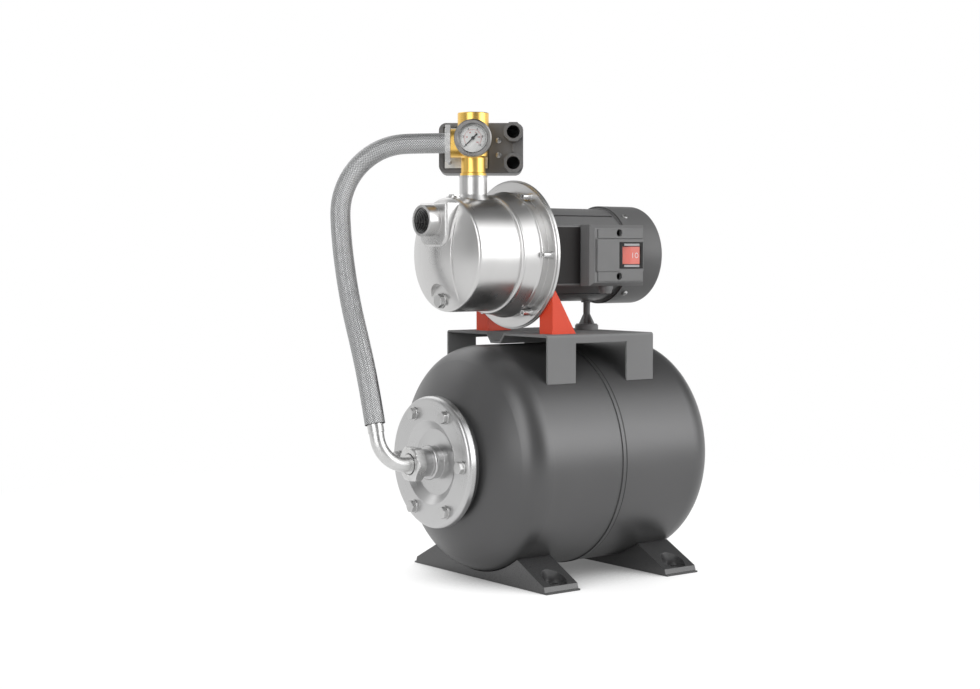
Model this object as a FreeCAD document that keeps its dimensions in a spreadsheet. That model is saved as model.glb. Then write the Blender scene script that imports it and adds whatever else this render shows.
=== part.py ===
import FreeCAD, Part
import math
import os
from types import SimpleNamespace

import Sketcher

Vector = FreeCAD.Vector
Rotation = FreeCAD.Rotation

# Booster pump set: a jet pump and its motor on a bracket over a small pressure tank.
# X runs along the pump and the tank, from the suction port (-X) to the fan (+X).
# -Y is the side with the switch. The floor is z = 0 and x = 0 is the middle of the tank.

# A height is measured from the piece that carries it: the tank's axis from where its own radius
# would put it on the floor, the bracket's plate from the tank's top, the legs and the shaft's axis
# from the plate, the pad and the outlet from the shaft's axis, the manifold from the outlet.
# In the same way the flange's face is measured from the dome, and its nut and the elbow from that face.
sizes = {
    # pressure tank, lying along X
    "tankRadius": 135.0,
    "tankAxis": 9.1,
    "tankHalf": 110.0,
    "tankWall": 1.5,
    "crownRadius": 205.4,
    "knuckleRadius": 40.0,
    "seamPlace": -4.0,
    "seamWidth": 4.5,
    "seamRise": 1.2,
    "neckRadius": 70.0,
    "neckBore": 54.0,
    # rubber membrane in the tank
    "lipThick": 2.5,
    "lipRadius": 58.5,
    "bagRadius": 95.0,
    "bagWall": 2.0,
    "bagHalf": 60.0,
    # steel flange on the tank's neck
    "flangeFace": 20.0923,
    "flangeRadius": 77.5,
    "flangeDepth": 10.8,
    "flangeWall": 3.0,
    "flangeRound": 5.0,
    "dishRadius": 49.5,
    "dishFloor": 38.5,
    "dishDepth": 8.0,
    "collarRadius": 19.0,
    "beadPlace": 1.7,
    "beadWidth": 5.0,
    "nippleRadius": 16.0,
    "nippleBore": 12.0,
    "nippleReach": 24.2,
    "flangePitch": 63.5,
    "flangeBolt": 4.0,
    "flangeBoltFlats": 13.0,
    "flangeBoltHead": 5.3,
    "flangeWasher": 8.0,
    "washerThick": 1.6,
    "flangeBoltLength": 14.5,
    # air valve at the far end of the tank
    "valveBoss": 9.0,
    "valveStem": 4.0,
    "valveReach": 16.0,
    "valveCap": 8.5,
    # feet pressed from sheet
    "footPlace": 93.35,
    "footWidth": 49.9,
    "footHalf": 131.7,
    "footRim": 2.0,
    "footLip": 8.0,
    "footLipHalf": 126.5,
    "footTopHalf": 77.0,
    "footWall": 2.5,
    "pocketRadius": 15.0,
    "footHolePlace": 114.0,
    "footHole": 5.5,
    # bracket over the tank
    "plateTop": 13.7,
    "plateFront": 90.9,
    "plateRear": 73.2,
    "plateHalf": 98.94,
    "plateWall": 2.5,
    "plateBend": 3.0,
    "skirtDepth": 9.8,
    "windowFront": 48.3,
    "windowRear": 31.0,
    "grooveTop": 18.0,
    "grooveFloor": 9.7,
    "grooveEnd": 25.0,
    "grooveSlope": 9.0,
    "weldGap": 0.1,
    # elbow and its nut
    "nutFlats": 38.4,
    "nutBack": 16.7,
    "nutFront": 29.7,
    "nutLip": 3.0,
    "nutHole": 12.0,
    "elbowRadius": 8.5,
    "elbowWall": 1.5,
    "elbowBend": 33.0,
    "elbowPlace": 66.7,
    "elbowTurn": 16.0,
    "elbowArm": 16.6,
    "elbowCollar": 11.5,
    "sleeveRadius": 9.3,
    "sleeveLength": 10.0,
    "hoseRadius": 11.9,
    # pump
    "shaftAxis": 93.3,
    "plateThick": 3.15,
    "adapterRear": 63.85,
    "adapterRadius": 89.1,
    "casingFlange": 87.5,
    "casingFlangeThick": 2.5,
    "casingStep": 74.4,
    "casingRadius": 67.0,
    "casingWall": 3.0,
    "rimRound": 4.0,
    "bandPole": 182.0,
    "bandCurve": 125.0,
    "bandHalf": 30.0,
    "nosePole": 179.0,
    "noseCurve": 150.0,
    "cavityFront": 165.0,
    "blockFront": 183.3,
    "blockHalf": 27.0,
    "blockLow": 9.0,
    "blockHigh": 60.0,
    "blockCorner": 14.0,
    "blockRound": 3.5,
    "portHeight": 39.45,
    "portRadius": 18.2,
    "portBore": 15.2,
    "portFront": 198.7,
    "outletPlace": 124.0,
    "outletRadius": 16.3,
    "outletBore": 13.0,
    "outletTop": 93.0,
    "drainDrop": 53.6,
    "drainPocket": 20.0,
    "drainFloor": 170.0,
    "drainFlats": 14.5,
    "drainThread": 5.0,
    "primingPlace": 152.0,
    "primingBoss": 9.0,
    "primingFlats": 12.0,
    "screwPitch": 79.0,
    "screwBody": 3.5,
    "screwLength": 12.0,
    "screwWasher": 4.5,
    "screwThread": 2.5,
    # pump internals
    "diffuserFront": 112.0,
    "diffuserRadius": 60.0,
    "eyeRadius": 13.0,
    "impellerFront": 106.0,
    "impellerWidth": 14.0,
    "impellerRadius": 54.0,
    "shroudThick": 2.0,
    "hubRadius": 12.0,
    "sealRadius": 12.3,
    "throatRadius": 6.0,
    # motor
    "shaftEnd": 6.0,
    "shaftSeat": 7.45,
    "shaftCore": 9.0,
    "shaftTip": 108.0,
    "shaftTail": 106.0,
    "bearingBore": 7.5,
    "bearingRadius": 17.5,
    "bearingWidth": 11.0,
    "frontBearing": 61.55,
    "rearBearing": 56.05,
    "coreFront": 30.0,
    "coreRear": 40.0,
    "rotorRadius": 30.5,
    "airGap": 0.5,
    "windingDepth": 14.0,
    "housingBore": 50.0,
    "housingRadius": 57.0,
    "housingRear": 66.0,
    "ribGroove": 3.0,
    "ribDepth": 3.2,
    "padFace": 66.0,
    "padLow": 37.1,
    "padHigh": 35.9,
    "fitGap": 0.05,
    "restGap": 0.3,
    # fan and fan cover
    "coverRadius": 60.7,
    "coverWall": 1.5,
    "coverFront": 69.1,
    "coverRear": 125.5,
    "coverRound": 5.0,
    "grilleStep": 5.0,
    "grilleBar": 1.7,
    "coverScrewPlace": 80.0,
    "fanFront": 87.0,
    "fanWidth": 17.0,
    "fanRadius": 50.0,
    "fanBlade": 2.5,
    # terminal box and its switch
    "boxFront": 14.0,
    "boxRear": 71.5,
    "boxSplit": 79.0,
    "boxFace": 86.8,
    "panelRise": 1.2,
    "boxWall": 2.5,
    "boxBevel": 4.0,
    "boxScrewPlace": 28.3,
    "boxScrewHigh": 9.7,
    "boxScrewLow": 11.4,
    "boxScrewRecess": 4.4,
    "switchPlace": 47.2,
    "switchHeight": 36.5,
    "switchHalf": 18.3,
    "switchRise": 15.5,
    "rockerHalf": 14.0,
    "rockerRise": 10.5,
    "rockerPivot": 84.0,
    "rockerPin": 1.5,
    "glandPlace": 20.0,
    "glandOut": 72.5,
    "glandRadius": 9.0,
    "glandBore": 4.2,
    "capRadius": 7.0,
    "capLength": 36.0,
    # legs and motor foot
    "legInner": 50.5,
    "legOuter": 74.5,
    "legToe": 28.0,
    "legTab": 4.85,
    "legApex": 51.2,
    "legBoltPlace": 46.0,
    "bracketBolt": 3.0,
    "footStandPlace": 52.0,
    "standDisc": 14.5,
    "standDiscHigh": 7.7,
    "standRibHigh": 19.5,
    "standStem": 4.25,
    # brass manifold, turned about the outlet
    "manifoldTurn": 142.87,
    "manifoldRadius": 14.4,
    "manifoldBody": 17.0,
    "manifoldBodyLow": 17.5,
    "socketLow": 14.5,
    "socketRadius": 18.4,
    "socketBore": 15.2,
    "socketDepth": 16.0,
    "manifoldTop": 21.0,
    "sideHeight": 38.4,
    "sideReach": 26.7,
    "hoseNutReach": 32.8,
    "hoseNutFlats": 38.0,
    "waterway": 9.0,
    # pressure gauge
    "gaugeHeight": 3.1,
    "gaugeBack": 28.0,
    "gaugeFront": 50.0,
    "gaugeRadius": 21.7,
    "gaugeWindow": 16.5,
    "gaugeInner": 20.2,
    "gaugeSocket": 7.0,
    "needleReach": 14.0,
    # pressure switch
    "boxNear": 35.0,
    "baseDeep": 60.0,
    "coverDeep": 100.0,
    "boxHoseSide": 41.5,
    "boxGlandSide": 59.6,
    "boxLow": 33.5,
    "boxHigh": 60.0,
    "boxCorner": 9.0,
    "boxShell": 2.5,
    "zincHose": 34.5,
    "zincGland": 17.0,
    "zincHalf": 24.0,
    "zincThick": 2.0,
    "entryPlace": 47.5,
    "entryHigh": 49.0,
    "entryLow": 12.0,
    "entryRadius": 12.4,
    "entryBore": 7.8,
    "entryReach": 10.0,
    "switchScrewPlace": 30.0,
    "switchScrewHigh": 39.0,
    "switchScrewLow": 21.5,
    "switchScrewHead": 3.4,
}

doc = FreeCAD.newDocument("BoosterPumpSet")
sheet = doc.addObject("Spreadsheet::Sheet", "Sizes")
for row, (name, value) in enumerate(sizes.items(), start=1):
    sheet.set(f"A{row}", name)
    sheet.set(f"B{row}", str(value))
    sheet.setAlias(f"B{row}", name)
doc.recompute()


class Term:
    """A length together with the expression that gives it from the sheet."""

    def __init__(self, text, number):
        self.text = text
        self.number = number

    def __add__(self, other):
        other = term(other)
        return Term(f"({self.text} + {other.text})", self.number + other.number)

    def __sub__(self, other):
        other = term(other)
        return Term(f"({self.text} - {other.text})", self.number - other.number)

    def __mul__(self, other):
        other = term(other)
        return Term(f"({self.text} * {other.text})", self.number * other.number)

    def __truediv__(self, other):
        other = term(other)
        return Term(f"({self.text} / {other.text})", self.number / other.number)

    def __neg__(self):
        return Term(f"(0 - {self.text})", -self.number)

    __radd__ = __add__
    __rmul__ = __mul__

    def __rsub__(self, other):
        return term(other) - self


def term(value):
    return value if isinstance(value, Term) else Term(f"({value:.7f})", float(value))


def root(value):
    return Term(f"sqrt({value.text})", math.sqrt(value.number))


size = SimpleNamespace(**{name: Term(f"Sizes.{name}", value) for name, value in sizes.items()})
nodes = {}

# from here on every height counts from the floor
size.tankAxis = size.tankRadius + size.tankAxis
size.plateTop = size.tankAxis + size.tankRadius + size.plateTop
size.legApex = size.plateTop + size.legApex
size.shaftAxis = size.plateTop + size.shaftAxis
size.padLow = size.shaftAxis - size.padLow
size.padHigh = size.shaftAxis + size.padHigh
size.boxScrewLow = size.padLow + size.boxScrewLow
size.boxScrewHigh = size.padHigh - size.boxScrewHigh
size.switchHeight = size.padLow + size.switchHeight
size.outletTop = size.shaftAxis + size.outletTop
size.sideHeight = size.outletTop + size.sideHeight
size.manifoldBodyLow = size.sideHeight - size.manifoldBodyLow
size.socketLow = size.sideHeight + size.socketLow
size.manifoldTop = size.socketLow + size.manifoldTop
size.gaugeHeight = size.sideHeight + size.gaugeHeight
size.boxLow = size.sideHeight - size.boxLow
size.boxHigh = size.boxLow + size.boxHigh
for name in ("entryLow", "entryHigh", "switchScrewLow", "switchScrewHigh"):
    setattr(size, name, size.boxLow + getattr(size, name))

# turns a primitive's own Z into the direction named
ways = {
    "+z": Rotation(),
    "-z": Rotation(Vector(1, 0, 0), 180),
    "+x": Rotation(Vector(0, 1, 0), 90),
    "-x": Rotation(Vector(0, 1, 0), -90),
    "+y": Rotation(Vector(1, 0, 0), -90),
    "-y": Rotation(Vector(1, 0, 0), 90),
}


def bind(thing, path, value):
    thing.setExpression(path, term(value).text)


def place(thing, x=0, y=0, z=0):
    for axis, value in zip("xyz", (x, y, z)):
        bind(thing, f"Placement.Base.{axis}", value)
    return thing


def cylinder(radius, length, way, at):
    thing = doc.addObject("Part::Cylinder", "Cylinder")
    thing.Placement = FreeCAD.Placement(Vector(), ways[way])
    bind(thing, "Radius", radius)
    bind(thing, "Height", length)
    return place(thing, *at)


def cone(radiusLow, radiusHigh, length, way, at):
    thing = doc.addObject("Part::Cone", "Cone")
    thing.Placement = FreeCAD.Placement(Vector(), ways[way])
    bind(thing, "Radius1", radiusLow)
    bind(thing, "Radius2", radiusHigh)
    bind(thing, "Height", length)
    return place(thing, *at)


def box(low, high):
    """A box between its lowest and its highest corner."""
    thing = doc.addObject("Part::Box", "Box")
    for side, a, b in zip(("Length", "Width", "Height"), low, high):
        bind(thing, side, term(b) - a)
    return place(thing, *low)


def sphere(radius, at):
    thing = doc.addObject("Part::Sphere", "Sphere")
    bind(thing, "Radius", radius)
    return place(thing, *at)


def prism(sides, flats, length, way, at, turn=0):
    """A regular bar, turned about its own axis by a number of degrees."""
    thing = doc.addObject("Part::Prism", "Prism")
    thing.Polygon = sides
    spin = Rotation(Vector(0, 0, 1), turn)
    thing.Placement = FreeCAD.Placement(Vector(), ways[way].multiply(spin))
    bind(thing, "Circumradius", term(flats) * (0.5 / math.cos(math.pi / sides)))
    bind(thing, "Height", length)
    return place(thing, *at)


def wedge(lowBox, highBox, zLow, zHigh):
    """A block whose lower and upper rectangles (x0, x1, half width in Y) differ."""
    thing = doc.addObject("Part::Wedge", "Wedge")
    thing.Placement = FreeCAD.Placement(Vector(), Rotation(Vector(1, 0, 0), 90))
    bind(thing, "Ymin", zLow)
    bind(thing, "Ymax", zHigh)
    for path, value in zip(("Xmin", "Xmax", "Zmax"), lowBox):
        bind(thing, path, value)
    for path, value in zip(("X2min", "X2max", "Z2max"), highBox):
        bind(thing, path, value)
    bind(thing, "Zmin", -term(lowBox[2]))
    bind(thing, "Z2min", -term(highBox[2]))
    return thing


def fuse(*things):
    if len(things) == 1:
        return things[0]
    thing = doc.addObject("Part::MultiFuse", "Fuse")
    thing.Shapes = list(things)
    return thing


def joined(*things):
    """Joins overlapping forms one after another."""
    whole = things[0]
    for thing in things[1:]:
        step = doc.addObject("Part::Fuse", "Join")
        step.Base = whole
        step.Tool = thing
        whole = step
    return whole


def cut(base, *tools):
    thing = doc.addObject("Part::Cut", "Cut")
    thing.Base = base
    thing.Tool = fuse(*tools)
    return thing


def common(*things):
    thing = doc.addObject("Part::MultiCommon", "Common")
    thing.Shapes = list(things)
    return thing


def rounded(base, radius, pick):
    """Rounds the edges of a finished form that pick says yes to."""
    doc.recompute()
    thing = doc.addObject("Part::Fillet", "Fillet")
    thing.Base = base
    edges = [i for i, edge in enumerate(base.Shape.Edges, start=1) if pick(edge)]
    thing.Edges = [(i, radius.number, radius.number) for i in edges]
    return thing


def arcCentre(start, end, bow):
    """Centre of the arc from start to end: left of it for a positive bow, right for a negative one."""
    chord = end - start
    radius = abs(bow)
    rise = math.sqrt(radius * radius - chord.Length * chord.Length / 4)
    side = Vector(-chord.y, chord.x, 0).normalize()
    return (start + end) * 0.5 + side * math.copysign(rise, bow)


def outline(sketch, corners):
    """Closes the corners (across, up, and a signed radius where an arc leads on to the next)."""
    points = [Vector(term(c[0]).number, term(c[1]).number, 0) for c in corners]
    first = sketch.GeometryCount
    ends = []
    for i, corner in enumerate(corners):
        start, end = points[i], points[(i + 1) % len(points)]
        if len(corner) == 2:
            sketch.addGeometry(Part.LineSegment(start, end), False)
            ends.append((1, 2))
            continue
        bow = term(corner[2]).number
        centre = arcCentre(start, end, bow)
        angles = [math.atan2(p.y - centre.y, p.x - centre.x) for p in (start, end)]
        if bow < 0:
            angles.reverse()
        if angles[1] < angles[0]:
            angles[1] += 2 * math.pi
        circle = Part.Circle(centre, Vector(0, 0, 1), abs(bow))
        sketch.addGeometry(Part.ArcOfCircle(circle, angles[0], angles[1]), False)
        ends.append((1, 2) if bow > 0 else (2, 1))
    for i, corner in enumerate(corners):
        edge, before = first + i, first + (i - 1) % len(corners)
        startEnd, beforeEnd = ends[i][0], ends[i - 1][1]
        sketch.addConstraint(Sketcher.Constraint("Coincident", before, beforeEnd, edge, startEnd))
        for kind, value, number in (("DistanceX", corner[0], points[i].x), ("DistanceY", corner[1], points[i].y)):
            index = sketch.addConstraint(Sketcher.Constraint(kind, -1, 1, edge, startEnd, number))
            sketch.setExpression(f"Constraints[{index}]", term(value).text)
        if len(corner) == 3:
            bow = term(corner[2])
            radius = bow if bow.number > 0 else -bow
            index = sketch.addConstraint(Sketcher.Constraint("Radius", edge, radius.number))
            sketch.setExpression(f"Constraints[{index}]", radius.text)


planes = {"xy": "XY_Plane", "xz": "XZ_Plane", "yz": "YZ_Plane"}
axes = {"x": "X_Axis", "y": "Y_Axis", "z": "Z_Axis"}


def originPart(body, role):
    return next(f for f in body.Origin.OriginFeatures if f.Role == role)


def newSketch(body, plane, *wires):
    sketch = body.newObject("Sketcher::SketchObject", "Sketch")
    sketch.AttachmentSupport = (originPart(body, planes[plane]), [""])
    sketch.MapMode = "FlatFace"
    for corners in wires:
        outline(sketch, corners)
    return sketch


def newBody():
    return doc.addObject("PartDesign::Body", "Body")


def addRevolved(body, axis, *wires):
    """Turns wires of (along, radius) corners about the body's own X, Y or Z axis."""
    plane = {"x": "xy", "y": "yz", "z": "xz"}[axis]
    if axis == "z":
        wires = [[(r, a) if not bow else (r, a, -bow[0]) for a, r, *bow in wire] for wire in wires]
    sketch = newSketch(body, plane, *wires)
    feature = body.newObject("PartDesign::Revolution", "Revolution")
    feature.Profile = sketch
    feature.ReferenceAxis = (originPart(body, axes[axis]), [""])
    feature.Angle = 360
    return feature


def addExtruded(body, plane, low, high, *wires):
    """Draws wires out between two places along the plane's own normal."""
    sketch = newSketch(body, plane, *wires)
    low, high = term(low), term(high)
    start = -high if plane == "xz" else low
    bind(sketch, "AttachmentOffset.Base.z", start)
    feature = body.newObject("PartDesign::Pad", "Pad")
    feature.Profile = sketch
    bind(feature, "Length", high - low)
    return feature


def addRing(body, feature, axis, count):
    """Repeats a feature evenly about the body's own axis."""
    ring = body.newObject("PartDesign::PolarPattern", "Ring")
    ring.Originals = [feature]
    ring.Axis = (originPart(body, axes[axis]), [""])
    ring.Angle = 360
    ring.Occurrences = count
    body.Tip = ring
    return ring


def revolved(axis, at, *wires):
    body = newBody()
    addRevolved(body, axis, *wires)
    return place(body, *at)


def extruded(plane, low, high, *wires):
    body = newBody()
    addExtruded(body, plane, low, high, *wires)
    return body


def tube(outer, inner, low, high, at):
    """A ring along X between two places."""
    wire = [(low, inner), (low, outer), (high, outer), (high, inner)]
    return revolved("x", at, wire)


def ringPlaces(count, radius, first=0.0):
    """Offsets in Y and Z of places round the X axis; 0 degrees is -Y, upwards is positive."""
    places = []
    for i in range(count):
        angle = math.radians(first + 360.0 * i / count)
        places.append((radius * -math.cos(angle), radius * math.sin(angle)))
    return places


def node(name, thing):
    thing.Label = name
    nodes[name] = thing
    return thing


def onManifold(thing, z=0):
    """Sets a piece drawn about the manifold's own axis in its place and turn."""
    thing.Placement = FreeCAD.Placement(Vector(), Rotation(Vector(0, 0, 1), size.manifoldTurn.number))
    bind(thing, "Placement.Rotation.Angle", size.manifoldTurn)
    return place(thing, -size.outletPlace, 0, z)


tankLine = (0, 0, size.tankAxis)
shaftLine = (0, 0, size.shaftAxis)

# pressure tank
crownRun = root((size.crownRadius - size.knuckleRadius) * (size.crownRadius - size.knuckleRadius)
                - (size.tankRadius - size.knuckleRadius) * (size.tankRadius - size.knuckleRadius))
crownCentre = size.tankHalf - crownRun


def domeReach(radius, wall=0):
    """How far from the tank's middle the end's surface, or that of its wall's inside, has a radius."""
    crown = size.crownRadius - wall
    return crownCentre + root(crown * crown - radius * radius)


def domeTangent(wall=0):
    """Where the end's flat crown runs into its knuckle."""
    share = (size.crownRadius - wall) / (size.crownRadius - size.knuckleRadius)
    return crownCentre + share * crownRun, share * (size.tankRadius - size.knuckleRadius)


# from here on these count from the tank's middle
size.flangeFace = domeReach(size.neckRadius) + size.flangeFace
for name in ("beadPlace", "nippleReach", "nutBack", "nutFront", "elbowPlace"):
    setattr(size, name, size.flangeFace + getattr(size, name))

neckFace = size.flangeFace - size.flangeWall - size.lipThick
outerRun, outerRise = domeTangent()
innerRun, innerRise = domeTangent(size.tankWall)
innerCrown = size.crownRadius - size.tankWall
innerKnuckle = size.knuckleRadius - size.tankWall
seamFront = size.seamPlace - size.seamWidth / 2
seamRear = size.seamPlace + size.seamWidth / 2
tankShell = revolved("x", tankLine, [
    (-neckFace, size.neckBore),
    (-neckFace, size.neckRadius),
    (-domeReach(size.neckRadius), size.neckRadius, -size.crownRadius),
    (-outerRun, outerRise, -size.knuckleRadius),
    (-size.tankHalf, size.tankRadius),
    (seamFront, size.tankRadius),
    (seamFront, size.tankRadius + size.seamRise),
    (seamRear, size.tankRadius + size.seamRise),
    (seamRear, size.tankRadius),
    (size.tankHalf, size.tankRadius, -size.knuckleRadius),
    (outerRun, outerRise, -size.crownRadius),
    (domeReach(size.valveStem + size.fitGap), size.valveStem + size.fitGap),
    (domeReach(size.valveStem + size.fitGap, size.tankWall), size.valveStem + size.fitGap, innerCrown),
    (innerRun, innerRise, innerKnuckle),
    (size.tankHalf, size.tankRadius - size.tankWall),
    (-size.tankHalf, size.tankRadius - size.tankWall, innerKnuckle),
    (-innerRun, innerRise, innerCrown),
    (-domeReach(size.neckBore, size.tankWall), size.neckBore),
])
boltPlaces = ringPlaces(6, size.flangePitch)
neckHoles = [
    cylinder(size.flangeBolt + size.fitGap, size.flangeBoltLength, "+x",
             (-neckFace - size.lipThick, y, size.tankAxis + z))
    for y, z in boltPlaces
]
node("tank_shell", cut(tankShell, *neckHoles))

bagInner = size.bagRadius - size.bagWall
bagNeck = size.dishRadius + 1.7
bagMouth = neckFace + size.lipThick - size.fitGap
bagWidening = domeReach(size.neckBore, size.tankWall) + 0.7769
node("membrane", revolved("x", tankLine, [
    (-bagMouth, bagNeck),
    (-bagMouth, size.lipRadius),
    (-(neckFace + size.fitGap), size.lipRadius),
    (-(neckFace + size.fitGap), size.neckBore - size.restGap),
    (-bagWidening, size.neckBore - size.restGap),
    (-size.tankHalf - 38, size.bagRadius - 15),
    (-size.tankHalf - 5, size.bagRadius),
    (size.bagHalf, size.bagRadius, -size.bagRadius),
    (size.bagHalf + size.bagRadius, 0),
    (size.bagHalf + bagInner, 0, bagInner),
    (size.bagHalf, bagInner),
    (-size.tankHalf - 4.3, bagInner),
    (-size.tankHalf - 37, bagInner - 15),
    (-(bagWidening + 0.8), bagNeck),
]))

# flange with its pressed dish, rolled skirt, collar and nipple
face, back = -size.flangeFace, -size.flangeFace + size.flangeWall
floorX = face + size.dishDepth
beadFront, beadRear = -size.beadPlace - size.beadWidth / 2, -size.beadPlace + size.beadWidth / 2
skirtEnd = face + size.flangeDepth
flange = revolved("x", tankLine, [
    (-size.nippleReach, size.nippleBore),
    (-size.nippleReach, size.nippleRadius),
    (beadFront, size.nippleRadius),
    (beadFront, size.collarRadius, -size.beadWidth * 0.56),
    (beadRear, size.collarRadius),
    (floorX, size.collarRadius),
    (floorX, size.dishFloor),
    (face, size.dishRadius),
    (face, size.flangeRadius - size.flangeRound, -size.flangeRound),
    (face + size.flangeRound, size.flangeRadius),
    (skirtEnd, size.flangeRadius),
    (skirtEnd, size.flangeRadius - size.flangeWall),
    (back, size.flangeRadius - size.flangeWall),
    (back, size.dishRadius + size.flangeWall * 0.43),
    (floorX + size.flangeWall, size.dishFloor + size.flangeWall * 0.43),
    (floorX + size.flangeWall, size.nippleBore),
])
flangeHoles = [
    cylinder(size.flangeBolt + 0.5, size.flangeWall + 2, "+x", (face - 1, y, size.tankAxis + z))
    for y, z in boltPlaces
]
node("tank_flange", cut(flange, *flangeHoles))

flangeBolts = []
for y, z in boltPlaces:
    at = (face, y, size.tankAxis + z)
    headSeat = (face - size.washerThick, y, size.tankAxis + z)
    flangeBolts.append(fuse(
        cylinder(size.flangeWasher, size.washerThick, "-x", at),
        prism(6, size.flangeBoltFlats, size.flangeBoltHead, "-x", headSeat, turn=15),
        cylinder(size.flangeBolt, size.flangeBoltLength, "+x", at),
    ))
node("flange_bolts", fuse(*flangeBolts))

# air valve on the tank's other end
valveSeat = domeReach(size.valveBoss)
node("air_valve", revolved("x", tankLine, [
    (valveSeat - 12, 0),
    (valveSeat - 12, size.valveStem),
    (domeReach(0) + size.weldGap, size.valveStem),
    (domeReach(0) + size.weldGap, size.valveBoss),
    (domeReach(0) + 3, size.valveBoss),
    (domeReach(0) + 4, size.valveStem),
    (domeReach(0) + size.valveReach, size.valveStem),
    (domeReach(0) + size.valveReach, 0),
]))
capSeat = domeReach(0) + 4 + size.restGap
node("valve_cap", revolved("x", tankLine, [
    (capSeat, size.valveStem + size.restGap),
    (capSeat, size.valveCap),
    (capSeat + size.valveReach - 3, size.valveCap, 2),
    (capSeat + size.valveReach - 1, size.valveCap - 2),
    (capSeat + size.valveReach - 1, 0),
    (domeReach(0) + size.valveReach + size.restGap, 0),
    (domeReach(0) + size.valveReach + size.restGap, size.valveStem + size.restGap),
]))


# feet, pressed from sheet to the tank's round, open below
def foot(name, middle):
    low, high = middle - size.footWidth / 2, middle + size.footWidth / 2

    def cradle(radius):
        return size.tankAxis - root(radius * radius - size.footTopHalf * size.footTopHalf)

    innerRadius = size.tankRadius + size.footWall
    skin = extruded("yz", low, high, [
        (-size.footHalf, 0),
        (size.footHalf, 0),
        (size.footHalf, size.footRim),
        (size.footLipHalf + 2, size.footRim),
        (size.footLipHalf, size.footLip),
        (size.footTopHalf, cradle(size.tankRadius), -size.tankRadius),
        (-size.footTopHalf, cradle(size.tankRadius)),
        (-size.footLipHalf, size.footLip),
        (-size.footLipHalf - 2, size.footRim),
        (-size.footHalf, size.footRim),
    ])
    innerLip = size.footLipHalf - size.footWall / 2
    hollow = extruded("yz", low + size.footWall, high - size.footWall, [
        (-innerLip, -size.footWall),
        (innerLip, -size.footWall),
        (innerLip, size.footLip - size.footWall),
        (size.footTopHalf, cradle(innerRadius), -innerRadius),
        (-size.footTopHalf, cradle(innerRadius)),
        (-innerLip, size.footLip - size.footWall),
    ])
    pockets, backs, holes = [], [], []
    for side in (-1, 1):
        y = size.footHolePlace * side
        pockets.append(cylinder(size.pocketRadius, 40, "+z", (middle, y, size.footLip)))
        backs.append(cylinder(size.pocketRadius + size.footWall, 40, "+z",
                              (middle, y, size.footLip - size.footWall)))
        holes.append(cylinder(size.footHole, 20, "+z", (middle, y, -5)))
    node(name, cut(skin, cut(hollow, *backs), *pockets, *holes))


foot("foot_front", -size.footPlace)
foot("foot_rear", size.footPlace)

# bracket: a bent sheet with a pressed groove, its four legs welded to the tank
plateUnder = size.plateTop - size.plateWall
innerHalf = size.plateHalf - size.plateWall
legLow = size.tankAxis + size.tankRadius / 2
channel = rounded(
    box((-size.plateFront, -size.plateHalf, legLow), (size.plateRear, size.plateHalf, size.plateTop)),
    size.plateBend,
    lambda edge: edge.BoundBox.ZMin > size.plateTop.number - 0.01 and edge.BoundBox.XLength > 1,
)
inside = rounded(
    box((-size.plateFront - 1, -innerHalf, legLow - 1), (size.plateRear + 1, innerHalf, plateUnder)),
    size.plateBend - size.plateWall,
    lambda edge: edge.BoundBox.ZMin > plateUnder.number - 0.01 and edge.BoundBox.XLength > 1,
)
grooveLow = size.tankAxis + size.tankRadius + size.seamRise + size.weldGap
outerGroove = wedge((-size.plateFront, size.grooveEnd - size.grooveSlope, size.grooveFloor),
                    (-size.plateFront, size.grooveEnd, size.grooveTop), grooveLow, plateUnder + 1)
innerGroove = wedge((-size.plateFront - 1, size.grooveEnd - size.grooveSlope - 2, size.grooveFloor - 2),
                    (-size.plateFront - 1, size.grooveEnd - 2, size.grooveTop - 2),
                    grooveLow + size.plateWall, size.plateTop + 0.01)
windows = box((-size.windowFront, -size.plateHalf - 1, legLow - 1),
              (size.windowRear, size.plateHalf + 1, size.plateTop - size.skirtDepth))
tankForm = cylinder(size.tankRadius + size.weldGap, size.tankHalf * 2, "+x",
                    (-size.tankHalf, 0, size.tankAxis))
legPlaces = (-(size.legInner + size.legOuter) / 2, (size.legInner + size.legOuter) / 2)
boltPoints = [(-size.legBoltPlace, y) for y in legPlaces] + [(size.footStandPlace, 0)]
plateHoles = [
    cylinder(size.bracketBolt + 0.3, size.plateWall + 2, "+z", (x, y, plateUnder - 1)) for x, y in boltPoints
]
node("pump_bracket", cut(fuse(cut(channel, inside, windows), outerGroove), innerGroove, tankForm, *plateHoles))

# screws from below that hold the legs and the motor foot
bracketBolts = []
for x, y in boltPoints:
    bracketBolts.append(fuse(
        prism(6, size.bracketBolt * 10 / 3, 4, "-z", (x, y, plateUnder)),
        cylinder(size.bracketBolt, 12, "+z", (x, y, plateUnder)),
    ))
node("bracket_bolts", fuse(*bracketBolts))

# legs under the adapter plate
screwPlaces = ringPlaces(6, size.screwPitch)


def leg(name, side):
    low, high = sorted((size.legInner * side, size.legOuter * side), key=lambda value: value.number)
    wedgeForm = extruded("xz", low, high, [
        (-size.adapterRear, size.plateTop),
        (-size.legToe, size.plateTop),
        (-size.adapterRear + size.legTab, size.legApex),
        (-size.adapterRear, size.legApex),
    ])
    y = (size.legInner + size.legOuter) / 2 * side
    boltHole = cylinder(size.bracketBolt + size.fitGap, 10, "+z", (-size.legBoltPlace, y, size.plateTop - 0.1))
    node(name, cut(wedgeForm, boltHole))


leg("leg_left", -1)
leg("leg_right", 1)

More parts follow.
